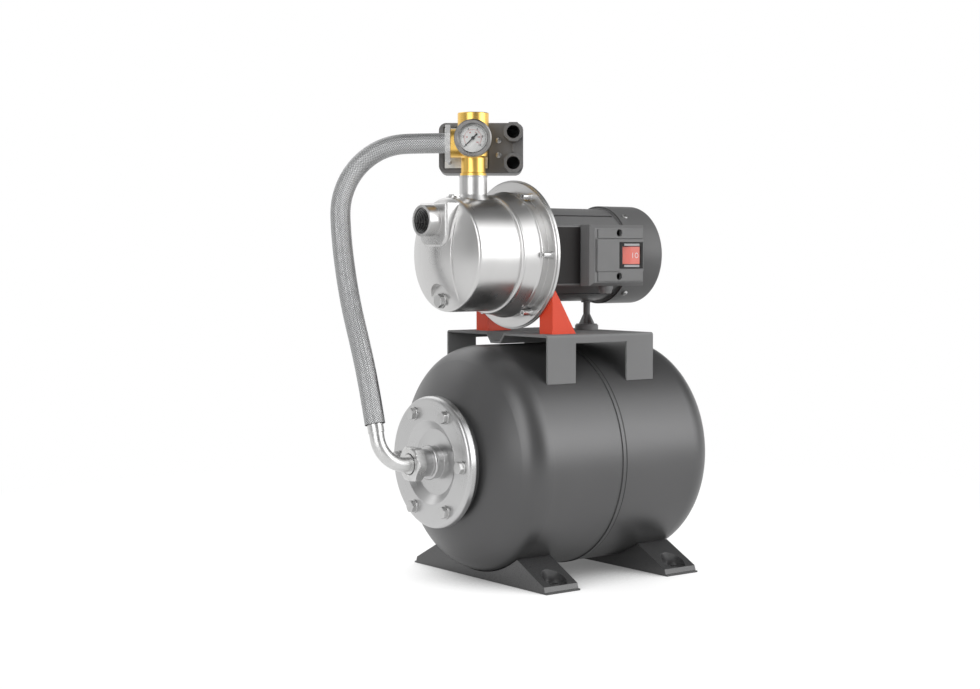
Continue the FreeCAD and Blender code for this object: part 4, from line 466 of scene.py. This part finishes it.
whitePrint = paintedFinish("whitePrint", {
    "colour": (0.85, 0.83, 0.82), "rough": 0.45, "grainScale": 3000.0, "grainDepth": 0.000003,
    "shift": 0.03})
# painted shade along the tank's seam
seamShade = paintedFinish("seamShade", {
    "colour": (0.02, 0.02, 0.02), "rough": 0.5, "grainScale": 1200.0})
coreSteel = stackedFinish("coreSteel", {
    "colour": (0.25, 0.25, 0.26), "metallic": 1.0, "rough": 0.4, "bandsPerMetre": 1000.0,
    "depth": 0.0001})
windingCopper = woundFinish("windingCopper", {
    "colour": (0.55, 0.2, 0.07), "metallic": 0.6, "rough": 0.3, "wireScale": 300.0, "depth": 0.0004})
clearGlass = glassFinish("clearGlass", {"colour": (0.9, 0.92, 0.92), "ior": 1.5, "alpha": 0.05})

nodesOfFinish = [
    (tankPaint, "tank_shell"),
    (footPaint, "foot_front foot_rear"),
    (bracketPaint, "pump_bracket"),
    (legPaint, "leg_left leg_right"),
    (motorPaint, "motor_housing end_shield_front end_shield_rear motor_foot"),
    (fanCoverPaint, "fan_cover"),
    (casingSteel, "pump_casing"),
    (adapterSteel, "adapter_plate"),
    (flangeSteel, "tank_flange"),
    (shaftSteel, "motor_shaft bearings"),
    (brightBrass, "manifold gauge_socket"),
    (boltSteel, "flange_bolts casing_screws bracket_bolts cover_screws terminal_screws switch_screws"),
    (nutSteel, "elbow_nut hose_nut drain_plug priming_plug"),
    (elbowSteel, "elbow_pipe elbow_sleeve"),
    (valveBrass, "air_valve"),
    (zincPlate, "switch_plate"),
    (gaugeSteel, "gauge_case"),
    (sealSteel, "seal_head"),
    (sealCeramic, "seal_seat"),
    (membraneRubber, "membrane casing_seal"),
    (boxPlastic, "terminal_box_base terminal_box_cover cable_gland"),
    (bezelPlastic, "switch_bezel"),
    (switchPlastic, "switch_base switch_cover switch_glands"),
    (innerPlastic, "ejector diffuser"),
    (impellerPlastic, "impeller"),
    (fanPlastic, "cooling_fan"),
    (capPlastic, "valve_cap"),
    (capacitorPlastic, "capacitor"),
    (rockerPlastic, "rocker"),
    (plateFoil, "nameplate"),
    (dialEnamel, "gauge_dial"),
    (needleLacquer, "gauge_needle"),
    (coreSteel, "stator_core rotor"),
    (windingCopper, "stator_windings"),
    (clearGlass, "gauge_lens"),
]
for material, names in nodesOfFinish:
    for nodeName in names.split():
        slots = cadNodes[nodeName].material_slots
        for index in range(len(slots)):
            slots[index].material = material
print("finishes set")


# braided hose

hose = {
    "radius": 0.0119, "length": 0.4267, "carriers": 24, "pitch": 0.0056, "strandDepth": 0.00026,
    "around": 132, "alongStep": 0.00057,
    "route": [
        (-0.150154, 0.019799, 0.5175), (-0.167458, 0.032895, 0.5175), (-0.2046, 0.0611, 0.5160),
        (-0.2337, 0.0832, 0.4920), (-0.2530, 0.0900, 0.4529), (-0.2545, 0.0845, 0.4070),
        (-0.2545, 0.0755, 0.3650), (-0.2545, 0.0625, 0.3230), (-0.2545, 0.0438, 0.2810),
        (-0.2545, 0.026350, 0.236001), (-0.2545, 0.013671, 0.191781)],
}


def readSpline(name, points):
    # the route's own smooth line, read from a curve with no thickness
    curve = bpy.data.curves.new(name, "CURVE")
    curve.dimensions = "3D"
    curve.resolution_u = 24
    spline = curve.splines.new("NURBS")
    spline.points.add(len(points) - 1)
    for i, point in enumerate(points):
        spline.points[i].co = (*point, 1)
    spline.order_u = 3
    spline.use_endpoint_u = True
    holder = bpy.data.objects.new(name, curve)
    bpy.context.scene.collection.objects.link(holder)
    mesh = bpy.data.meshes.new_from_object(holder)
    line = np.empty(len(mesh.vertices) * 3)
    mesh.vertices.foreach_get("co", line)
    bpy.data.objects.remove(holder)
    bpy.data.meshes.remove(mesh)
    return line.reshape(-1, 3)


def evenly(line, step):
    # the same line with points an even distance apart
    gaps = np.linalg.norm(np.diff(line, axis=0), axis=1)
    run = np.concatenate([[0], np.cumsum(gaps)])
    at = np.linspace(0, run[-1], int(run[-1] / step) + 1)
    return np.stack([np.interp(at, run, line[:, i]) for i in range(3)], 1), at


def braidedHose(look):
    # a tube whose radius rises where a strand of one of two crossing helices lies on top:
    # a and b count the strands of each family, and even cells of (a, b) show a, odd ones b
    centre, at = evenly(readSpline("hoseLine", look["route"]), look["alongStep"])
    way = np.gradient(centre, axis=0)
    way /= np.linalg.norm(way, axis=1, keepdims=True)
    side = np.cross(way, [0.604, 0.797, 0.0])
    side /= np.linalg.norm(side, axis=1, keepdims=True)
    up = np.cross(side, way)
    turn = np.arange(look["around"]) / look["around"]
    s, t = np.meshgrid(at / look["pitch"], turn, indexing="ij")
    a = look["carriers"] * t + 2 * s
    b = look["carriers"] * t - 2 * s
    over = ((np.floor(a) + np.floor(b)) % 2) == 0
    across = np.where(over, b - np.floor(b), a - np.floor(a))
    bulge = np.sin(np.pi * across) ** 0.7
    radius = look["radius"] - look["strandDepth"] * (1 - bulge)
    angle = 2 * np.pi * t
    points = centre[:, None] + radius[..., None] * (
        np.cos(angle)[..., None] * side[:, None] + np.sin(angle)[..., None] * up[:, None])
    piece = arrayMesh("hoseBraid", points, gridFaces(len(at), look["around"], closeColumns=True)[:, ::-1])
    layer = piece.data.uv_layers.new(name="braidMap")
    corners = np.empty(len(piece.data.loops), dtype=np.int64)
    piece.data.loops.foreach_get("vertex_index", corners)
    row, column = corners // look["around"], corners % look["around"]
    # the last strip round the tube counts on to a full turn instead of back to 0
    columns = column.reshape(-1, 4)
    wraps = (columns.max(1) - columns.min(1)) > 1
    columns = np.where(wraps[:, None] & (columns == 0), look["around"], columns)
    layer.data.foreach_set("uv", np.stack([columns.ravel() / look["around"], at[row]], 1).ravel())
    return piece, centre


def braidFinish(name, look):
    # fine bright wires lie side by side in each strand, and run along it: the strand on top is picked by the
    # same cells as the tube's own shape;
    # the colour holds painted shade in the gaps between strands and wires and a painted highlight on their
    # crowns
    material, tree, shader, _ = newFinish(name, {"metallic": 1.0})
    mapped = addNode(tree, "ShaderNodeUVMap", uv_map="braidMap").outputs[0]
    split = splitNode(tree, mapped)
    t = mathNode(tree, "MULTIPLY", split[0], float(look["carriers"]))
    s = mathNode(tree, "MULTIPLY", split[1], 2 / look["pitch"])
    a = mathNode(tree, "ADD", t, s)
    b = mathNode(tree, "SUBTRACT", t, s)
    cells = mathNode(tree, "ADD", mathNode(tree, "FLOOR", a), mathNode(tree, "FLOOR", b))
    pick = addNode(tree, "ShaderNodeMix", data_type="FLOAT")
    tree.links.new(mathNode(tree, "PINGPONG", cells, 1.0), pick.inputs[0])
    tree.links.new(mathNode(tree, "FRACT", b), pick.inputs[2])
    tree.links.new(mathNode(tree, "FRACT", a), pick.inputs[3])
    across = pick.outputs[0]
    wires = mathNode(tree, "SINE", mathNode(tree, "MULTIPLY", across, 2 * math.pi * look["wires"]))
    strand = mathNode(tree, "SINE", mathNode(tree, "MULTIPLY", across, math.pi))
    crownLight = mathNode(tree, "ADD", strand, mathNode(tree, "MULTIPLY", wires, 0.18))
    # painted shade in the gaps, painted highlight on the crowns of strands and wires
    colour = mixColours(tree, rangeNode(tree, crownLight, 0.35, 0.95), shade(look["colour"], 0.3),
                        shade(look["colour"], 1.25))
    setSurface(tree, shader, colour, roughAbout(tree, noiseNode(tree, mapped, 400.0), look, 0.06, 0.08))
    height = mathNode(tree, "ADD", strand, mathNode(tree, "MULTIPLY", wires, 0.25))
    addBump(tree, shader, height, look["depth"])
    return material


hosePiece, hoseLine = braidedHose(hose)
hosePiece.data.materials.append(braidFinish("braidSteel", {
    "colour": (0.53, 0.535, 0.54), "rough": 0.3, "carriers": hose["carriers"], "pitch": hose["pitch"],
    "wires": 5, "depth": 0.00014}))
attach(hosePiece, "frame")
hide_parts("braided_hose")
print("hose braided:", len(hosePiece.data.polygons), "faces")


# what the pieces added below have in common

def ringAngles(count):
    return np.arange(count) / count * 2 * np.pi


def placed(at, basis, x, y, z):
    # places given along three directions from a point
    u, v, w = basis
    return np.asarray(at) + x[..., None] * u + y[..., None] * v + z[..., None] * w


def framePiece(name, parts, material, closed=False):
    # several (points, faces) become one piece of the frame, with flat faces
    points, faces = joinArrays(parts)
    piece = arrayMesh(name, points, faces, smooth=False)
    if closed:
        closeMesh(piece)
    piece.data.materials.append(material)
    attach(piece, "frame")
    return piece


# screw heads with their recesses

def screwHeads(name, heads, material):
    # each head is a grid of rings from its underside over the rim to the middle; the rings' points
    # that lie in a slot, or in one of two crossing slots, sink to the recess's depth
    around = 64
    angle = ringAngles(around)
    top = np.linspace(1.0, 0.0, 26)
    sizes = np.concatenate([[0.0, 1.0, 1.0], top * 0.95])[:, None]
    heights = np.concatenate([[0.0, 0.0, 0.62], 1.0 - 0.3 * top ** 2])[:, None]
    parts = []
    for head in heads:
        u, v, w = basisFor(head["way"])
        turned = math.radians(head["turn"])
        u, v = u * math.cos(turned) + v * math.sin(turned), v * math.cos(turned) - u * math.sin(turned)
        radius, rise, slotted = head["radius"], head["rise"], head.get("slotted")
        x, y = sizes * radius * np.cos(angle), sizes * radius * np.sin(angle)
        near = np.abs(x) if slotted else np.minimum(np.abs(x), np.abs(y))
        slotHalf, slotReach = 0.19 * radius, (0.94 if slotted else 0.62) * radius
        sunk = (near < slotHalf) & (np.hypot(x, y) < slotReach)
        sunk[:3] = False
        lift = heights * rise - 0.8 * rise * sunk
        parts.append((placed(head["at"], (u, v, w), x, y, lift),
                      gridFaces(len(sizes), around, closeColumns=True)))
    return framePiece(name, parts, material, closed=True)


manifoldTurn = math.radians(142.87)


def fromManifold(x, y, z):
    # a place given along the manifold's ports, in metres from its own axis
    return (-0.124 + x * math.cos(manifoldTurn) - y * math.sin(manifoldTurn),
            x * math.sin(manifoldTurn) + y * math.cos(manifoldTurn), z)


gaugeWay = (-math.sin(manifoldTurn), math.cos(manifoldTurn), 0.0)
switchHeads = screwHeads("switchScrewHeads", [
    {"at": fromManifold(-0.030, -0.0350, z), "way": gaugeWay, "radius": 0.0034, "rise": 0.0021, "turn": turn}
    for z, turn in ((0.523, 24), (0.5055, 51))
], screwSteel)
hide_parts("switch_screws")
# the terminal screws carry painted shade for their recesses
terminalHeads = screwHeads("terminalScrewHeads", [
    {"at": (0.0283, -0.0818, z), "way": (0, -1, 0), "radius": 0.0039, "rise": 0.0022, "turn": turn}
    for z, turn in ((0.4123, 35), (0.3604, 12))
], screwShadeBlack)
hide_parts("terminal_screws")
coverHeads = screwHeads("coverScrewHeads", [
    {"at": (0.080, -0.0607 * math.cos(math.radians(a)), 0.3861 + 0.0607 * math.sin(math.radians(a))),
     "way": (0, -math.cos(math.radians(a)), math.sin(math.radians(a))), "radius": 0.0036, "rise": 0.0024,
     "turn": turn}
    for a, turn in ((50, 10), (130, 47), (230, 30), (310, 65))
], crispSteel)
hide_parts("cover_screws")
plateScrews = screwHeads("plateScrews", [
    {"at": fromManifold(0.0285, -0.0361, z), "way": gaugeWay, "radius": 0.0026, "rise": 0.0014, "turn": turn,
     "slotted": True}
    for z, turn in ((0.4965, 40), (0.5315, 75))
], screwSteel)
print("screw heads set")


# painted shade: a black strip in the corner behind the tank's seam, drawn as the seam's shaded edge

seam = {"from": -0.0018, "to": 0.0009, "slant": 0.0003, "foot": 0.1347, "rise": 0.1353, "around": 240}


def seamStrip(look):
    # a flat strip round the tank, its four corners (place along the axis, radius) turned about it
    corners = [(look["from"], look["foot"]), (look["from"], look["rise"]),
               (look["to"] - look["slant"], look["rise"]), (look["to"], look["foot"])]
    points = [[(x, r * math.cos(a), tankAxis[2] + r * math.sin(a)) for x, r in corners]
              for a in ringAngles(look["around"])]
    return points, gridFaces(look["around"], len(corners), closeRows=True, closeColumns=True)


seamLine = framePiece("seamLine", [seamStrip(seam)], seamShade, closed=True)
print("seam sealed")


# hexagon nut, plug and bolts, with chamfered corners

def hexRings(half, start, end, chamfers):
    # rings of a six-sided bar between two heights; a cone cuts its corners at an end that is chamfered
    corner, coneFoot, slope = 1.125 * half, 0.95 * half, 1.73
    steps = 0.13 * half * np.arange(7) / 6
    ends = {"start": start, "end": end}
    rings = []
    for height in np.unique(np.concatenate([start + steps, end - steps])):
        cones = [coneFoot + slope * abs(height - ends[side]) for side in chamfers]
        rings.append((height, half, min([corner] + cones)))
    return rings


def hexForms(name, forms, look, material, node):
    # each ring is (height, size) when round, or (height, half width, corner limit) when six-sided:
    # a side's distance from the axis is the half width over the cosine of the angle from its middle
    angle = ringAngles(96)
    aside = np.radians((np.degrees(angle) % 60) - 30)
    rings = look["rings"]
    radius = np.array([np.minimum(ring[1] / np.cos(aside), ring[2]) if len(ring) == 3
                       else np.full(len(angle), ring[1]) for ring in rings])
    height = np.array([ring[0] for ring in rings])[:, None]
    faces = gridFaces(len(rings), len(angle), closeRows=look.get("open", False), closeColumns=True)
    parts = []
    for form in forms:
        turned = angle + math.radians(form["turn"])
        parts.append((placed(form["at"], basisFor(form["way"]), radius * np.cos(turned),
                             radius * np.sin(turned), height), faces))
    piece = framePiece(name, parts, material, closed=True)
    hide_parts(node)


hexForms("elbowNut", [{"at": (-0.2045, 0, 0.1441), "way": (-1, 0, 0), "turn": 0}], {
    "open": True, "rings": [(0.0, 0.01605)] + hexRings(0.0192, 0.0, 0.013, ("start", "end"))
    + [(0.013, 0.0132), (0.0122, 0.0122), (0.0104, 0.0120), (0.0100, 0.0120), (0.0100, 0.01605)]},
    crispSteel, "elbow_nut")
hexForms("drainPlug", [{"at": (-0.170, 0, 0.3325), "way": (-1, 0, 0), "turn": 30}], {
    "rings": [(-0.005, 0.0), (-0.005, 0.005), (0.0, 0.005), (0.0, 0.00925), (0.0012, 0.00925),
              (0.0015, 0.00895)] + hexRings(0.00729, 0.0015, 0.0065, ("end",)) + [(0.0065, 0.0)]},
    hexSteel, "drain_plug")
boltCircle = [(0.0635 * math.cos(math.radians(60 * i)), 0.1441 + 0.0635 * math.sin(math.radians(60 * i)))
              for i in range(6)]
hexForms("flangeBolts", [
    {"at": (-0.1878, y, z), "way": (-1, 0, 0), "turn": turn}
    for (y, z), turn in zip(boltCircle, (-15, 10, 25, -5, 18, 3))], {
    "rings": [(-0.0145, 0.0), (-0.0145, 0.004), (0.0, 0.004), (0.0, 0.008), (0.0013, 0.008),
              (0.0016, 0.0077)] + hexRings(0.0065, 0.0016, 0.0069, ("end",)) + [(0.0069, 0.0)]},
    hexSteel, "flange_bolts")
print("hexagons cut")


# threads in the two ports

def portThread(name, look):
    # a ridge wound round the bore's wall: four corners of a trapezium, carried along a helix,
    # and run out to nothing at both ends
    turns = look["depth"] / look["pitch"]
    turn = np.linspace(0, turns, int(turns * 60) + 1)
    out = np.minimum(1.0, np.minimum(turn, turns - turn) * 3)
    foot, crest = np.full_like(turn, look["bore"] + 0.0002), look["bore"] - look["ridge"] * out
    radius = np.stack([foot, crest, crest, foot], 1)
    along = (turn[:, None] + np.array([-0.42, -0.1, 0.1, 0.42])) * look["pitch"]
    angle = 2 * np.pi * turn[:, None]
    points = placed(look["at"], basisFor(look["way"]), radius * np.cos(angle), radius * np.sin(angle),
                    along)
    last = 4 * (len(turn) - 1)
    faces = np.concatenate([gridFaces(len(turn), 4, closeColumns=True),
                            [[0, 1, 2, 3], [last + 3, last + 2, last + 1, last]]])
    piece = framePiece(name, [(points, faces)], look["finish"], closed=True)


portThread("suctionThread", {
    "at": (-0.1972, 0, 0.42555), "way": (1, 0, 0), "bore": 0.0152, "ridge": 0.0012, "pitch": 0.002309,
    "depth": 0.022, "finish": threadSteel, "slot": "casing_steel"})
portThread("dischargeThread", {
    "at": (-0.124, 0, 0.5515), "way": (0, 0, -1), "bore": 0.0152, "ridge": 0.00075, "pitch": 0.002309,
    "depth": 0.013, "finish": brightBrass, "slot": "manifold_brass"})
print("threads wound")


# print on the gauge's dial

dial = {
    "middle": fromManifold(0, 0.04366, 0.5206), "zeroAngle": 225.0, "sweep": 270.0,
    "outer": {"steps": 50, "every": 5, "reach": 0.0150, "short": 0.0012, "long": 0.0022, "wide": 0.00026},
    "inner": {"steps": 30, "every": 5, "reach": 0.0100, "short": 0.0008, "long": 0.0015, "wide": 0.00024},
}
rightWay = (-math.cos(manifoldTurn), -math.sin(manifoldTurn), 0.0)


def onDial(across, up):
    # a place on the dial's face, right and up as it is read
    right, above = np.asarray(rightWay), np.array([0, 0, 1.0])
    return np.asarray(dial["middle"]) + across[..., None] * right + up[..., None] * above


def dialMarks(name, look, material):
    # flat bars that point to the dial's middle, and one thin arc along their outer ends
    step = np.arange(look["steps"] + 1)
    angle = np.radians(dial["zeroAngle"] - dial["sweep"] * step / look["steps"])
    length = np.where(step % look["every"] == 0, look["long"], look["short"])
    near, far = look["reach"] - length, np.full(len(step), look["reach"])
    r = np.stack([near, far, far, near], 1)
    aside = np.array([-0.5, -0.5, 0.5, 0.5]) * look["wide"]
    x = r * np.cos(angle)[:, None] + aside * -np.sin(angle)[:, None]
    z = r * np.sin(angle)[:, None] + aside * np.cos(angle)[:, None]
    bars = (onDial(x, z), np.arange(4 * len(step)).reshape(-1, 4))
    sweep = np.radians(np.linspace(dial["zeroAngle"], dial["zeroAngle"] - dial["sweep"], 91))
    ring = np.array([look["reach"], look["reach"] + look["wide"] * 0.9])
    arc = (onDial(np.cos(sweep)[:, None] * ring, np.sin(sweep)[:, None] * ring), gridFaces(91, 2)[:, ::-1])
    piece = framePiece(name, [bars, arc], material)


def dialNumbers(name, numbers, reach, size, material):
    # each number is set as text, made mesh, and then moved to its place round the dial
    parts = []
    for step, number in enumerate(numbers):
        text = bpy.data.curves.new("number", "FONT")
        text.body, text.size, text.offset = number, size, 0.03 * size
        text.align_x, text.align_y = "CENTER", "CENTER"
        holder = bpy.data.objects.new("number", text)
        bpy.context.scene.collection.objects.link(holder)
        mesh = bpy.data.meshes.new_from_object(holder)
        flat = np.empty(len(mesh.vertices) * 3)
        mesh.vertices.foreach_get("co", flat)
        flat = flat.reshape(-1, 3)
        angle = math.radians(dial["zeroAngle"] - dial["sweep"] * step / (len(numbers) - 1))
        points = onDial(flat[:, 0] + reach * math.cos(angle), flat[:, 1] + reach * math.sin(angle))
        mesh.calc_loop_triangles()
        faces = np.empty(len(mesh.loop_triangles) * 3, dtype=int)
        mesh.loop_triangles.foreach_get("vertices", faces)
        parts.append((points, faces.reshape(-1, 3)))
        bpy.data.objects.remove(holder)
        bpy.data.meshes.remove(mesh)
    piece = framePiece(name, parts, material)


dialMarks("dialBlackMarks", dial["outer"], blackPrint)
dialMarks("dialRedMarks", dial["inner"], redPrint)
dialNumbers("dialBlackNumbers", ["0", "2", "4", "6", "8", "10"], 0.0113, 0.0033, blackPrint)
dialNumbers("dialRedNumbers", ["0", "30", "60", "90", "120", "150"], 0.0070, 0.0021, redPrint)
print("dial printed")


# trim and marks of the rocker switch

def solidBar(name, low, high, place, material):
    # a small block whose four long edges are slanted
    (x0, y0, z0), (x1, y1, z1) = low, high
    c = 0.25 * min(y1 - y0, z1 - z0)
    ring = [(y0 + c, z0), (y1 - c, z0), (y1, z0 + c), (y1, z1 - c),
            (y1 - c, z1), (y0 + c, z1), (y0, z1 - c), (y0, z0 + c)]
    points = [place(x, y, z) for x in (x0, x1) for y, z in ring]
    ends = [[0, 1, 2, 3], [0, 3, 4, 7], [4, 5, 6, 7], [11, 10, 9, 8], [15, 12, 11, 8], [15, 14, 13, 12]]
    faces = np.concatenate([gridFaces(2, len(ring), closeColumns=True), ends])[:, ::-1]
    piece = framePiece(name, [(points, faces)], material)


def asIs(x, y, z):
    return (x, y, z)


solidBar("bezelBarTop", (0.0352, -0.0893, 0.3968), (0.0592, -0.0884, 0.3996), asIs, trimGrey)
solidBar("bezelBarLow", (0.0352, -0.0893, 0.3714), (0.0592, -0.0884, 0.3742), asIs, trimGrey)
solidBar("coverPanel", (-0.0070, -0.0889, 0.3664), (0.0276, -0.0879, 0.4044), asIs, boxPlastic)
solidBar("glandRib", (-0.0487, -0.0352, 0.5090), (-0.0463, -0.0342, 0.5200), fromManifold, switchPlastic)

rockerTurn = math.radians(-8)


def onRocker(x, z):
    # a place on the rocker's right-hand face, which falls back from its middle ridge
    y = -0.00466 + 0.0014 * x / 0.0132
    return (0.0472 + x * math.cos(rockerTurn) - y * math.sin(rockerTurn),
            -0.084 + x * math.sin(rockerTurn) + y * math.cos(rockerTurn), 0.3855 + z)


ringPoints = [onRocker(0.0083 + r * math.cos(a) * 0.8, r * math.sin(a))
              for a in ringAngles(40) for r in (0.0024, 0.0032)]
barPoints = [onRocker(x, z) for x, z in ((0.0018, -0.0032), (0.0027, -0.0032), (0.0027, 0.0032),
                                         (0.0018, 0.0032))]
marks, markFaces = joinArrays([(ringPoints, gridFaces(40, 2, closeRows=True)[:, ::-1]),
                               (barPoints, [[0, 1, 2, 3]])])
rockerMarks = arrayMesh("rockerMarks", marks, markFaces, smooth=False)
rockerMarks.data.materials.append(whitePrint)
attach(rockerMarks, "rocker")
print("trim set")


# camera, light and floor

camera = {"place": (-1.323957, -1.617582, 0.385176), "yaw": 37.132, "pitch": 2.991, "lens": 62.46}
lens = bpy.data.cameras.new("camera")
lens.lens = camera["lens"]
lens.sensor_width = 36.0
lens.clip_end = 60.0
viewer = bpy.data.objects.new("camera", lens)
viewer.location = camera["place"]
viewer.rotation_euler = (math.radians(90 - camera["pitch"]), 0, -math.radians(camera["yaw"]))
bpy.context.scene.collection.objects.link(viewer)
bpy.context.scene.camera = viewer

studio = {
    "heights": [(0.0, 0.06), (0.40, 0.10), (0.50, 0.20), (0.62, 0.20), (0.80, 0.14), (1.0, 0.2)],
    "softboxes": [
        {"turns": (100, 152), "soft": 20, "rises": (-0.42, 0.79), "riseSoft": 0.3, "strength": 2.3},
        {"turns": (12, 46), "soft": 12, "rises": (-0.42, 0.79), "riseSoft": 0.3, "strength": 3.0},
        {"turns": (-110, -14), "soft": 30, "rises": (-0.6, 0.8), "riseSoft": 0.4, "strength": 0.5},
        {"turns": (-125, -60), "soft": 24, "rises": (0.42, 0.9), "riseSoft": 0.2, "strength": 1.1},
    ],
    "behind": (0.604, 0.797, 0.0), "behindEdges": (0.02, 0.46), "behindTop": (0.24, 0.34),
}
world = bpy.data.worlds.new("studio")
bpy.context.scene.world = world
world.use_nodes = True
tree = world.node_tree
tree.nodes.clear()
direction = addNode(tree, "ShaderNodeTexCoord").outputs["Generated"]


def alongWay(way, edges):
    # 0 to 1 as a direction turns towards the one given
    toward = vectorNode(tree, "DOT_PRODUCT", direction, Vector(way).normalized())
    return rangeNode(tree, toward, *edges, kind="SMOOTHSTEP")


def inWindow(value, low, high, soft):
    # 1 between the two limits, with soft edges half inside and half outside
    up = rangeNode(tree, value, low - soft / 2, low + soft / 2, kind="SMOOTHSTEP")
    down = rangeNode(tree, value, high + soft / 2, high - soft / 2, kind="SMOOTHSTEP")
    return mathNode(tree, "MULTIPLY", up, down)


# the studio's grey room with two tall soft lights, a weak wide one on the left and a high one; a
# softbox's turns are degrees round the room from the tank's flange end towards the side with the switch
split = splitNode(tree, direction)
light = rampNode(tree, rangeNode(tree, split[2], -1.0, 1.0), studio["heights"])
turned = mathNode(tree, "ARCTAN2", mathNode(tree, "MULTIPLY", split[1], -1.0),
                  mathNode(tree, "MULTIPLY", split[0], -1.0))
degrees = mathNode(tree, "MULTIPLY", turned, 180 / math.pi)
for box in studio["softboxes"]:
    around = inWindow(degrees, *box["turns"], box["soft"])
    upright = inWindow(split[2], *box["rises"], box["riseSoft"])
    shining = mathNode(tree, "MULTIPLY", mathNode(tree, "MULTIPLY", around, upright), box["strength"])
    light = mathNode(tree, "ADD", light, shining)
room = addNode(tree, "ShaderNodeBackground")
tree.links.new(light, room.inputs["Color"])
backdrop = addNode(tree, "ShaderNodeBackground")
backdrop.inputs["Color"].default_value = (1, 1, 1, 1)
# the camera sees the white backdrop; metal and glass see it where it stands behind the object
rays = addNode(tree, "ShaderNodeLightPath")
shown = mathNode(tree, "MAXIMUM", rays.outputs["Is Glossy Ray"], rays.outputs["Is Transmission Ray"])
stands = mathNode(tree, "MULTIPLY", alongWay(studio["behind"], studio["behindEdges"]),
                  rangeNode(tree, split[2], *studio["behindTop"], 1.0, 0.0))
seen = mathNode(tree, "MAXIMUM", rays.outputs["Is Camera Ray"], mathNode(tree, "MULTIPLY", shown, stands))
chosen = mixShaders(tree, seen, room.outputs[0], backdrop.outputs[0])
tree.links.new(chosen, addNode(tree, "ShaderNodeOutputWorld").inputs[0])

lamps = {
    "rightSoftbox": {"place": (1.3, -2.2, 0.9), "aim": (0, 0, 0.25), "size": (1.2, 1.0), "power": 5.0},
}
for name, lamp in lamps.items():
    light = bpy.data.lights.new(name, "AREA")
    light.shape = "RECTANGLE"
    light.size, light.size_y = lamp["size"]
    light.energy = lamp["power"]
    holder = bpy.data.objects.new(name, light)
    holder.location = lamp["place"]
    holder.rotation_euler = (Vector(lamp["aim"]) - Vector(lamp["place"])).to_track_quat("-Z", "Y").to_euler()
    bpy.context.scene.collection.objects.link(holder)

floor = arrayMesh("floor", [(-9, -9, 0), (9, -9, 0), (9, 9, 0), (-9, 9, 0)], [(0, 1, 2, 3)], smooth=False)
paper = bpy.data.materials.new("paper")
paper.use_nodes = True
tree = paper.node_tree
sheet = tree.nodes["Principled BSDF"]
sheet.inputs["Base Color"].default_value = (0.16, 0.16, 0.16, 1)
sheet.inputs["Roughness"].default_value = 0.9
# near the object the camera sees the lit paper with its shadow, further off it turns to plain white
distance = vectorNode(tree, "LENGTH", addNode(tree, "ShaderNodeTexCoord").outputs["Object"])
far = rangeNode(tree, distance, 0.35, 1.1)
# under the object little of the room's light reaches the paper, so its own light fades there too
unshaded = addNode(tree, "ShaderNodeAmbientOcclusion", samples=8, Distance=0.22)
glow = addNode(tree, "ShaderNodeEmission")
tree.links.new(rangeNode(tree, unshaded.outputs["AO"], 0.12, 0.6, 0.14, 0.93), glow.inputs["Strength"])
both = addNode(tree, "ShaderNodeAddShader")
tree.links.new(sheet.outputs[0], both.inputs[0])
tree.links.new(glow.outputs[0], both.inputs[1])
white = addNode(tree, "ShaderNodeEmission", Strength=1.0)
blend = mixShaders(tree, far, both.outputs[0], white.outputs[0])
rays = addNode(tree, "ShaderNodeLightPath")
seen = mathNode(tree, "MAXIMUM", rays.outputs["Is Camera Ray"],
                mathNode(tree, "MAXIMUM", rays.outputs["Is Glossy Ray"], rays.outputs["Is Transmission Ray"]))
shownPaper = mixShaders(tree, seen, sheet.outputs[0], blend)
tree.links.new(shownPaper, tree.nodes["Material Output"].inputs[0])
floor.data.materials.append(paper)
bpy.context.scene.view_settings.view_transform = "Standard"
print("studio set")
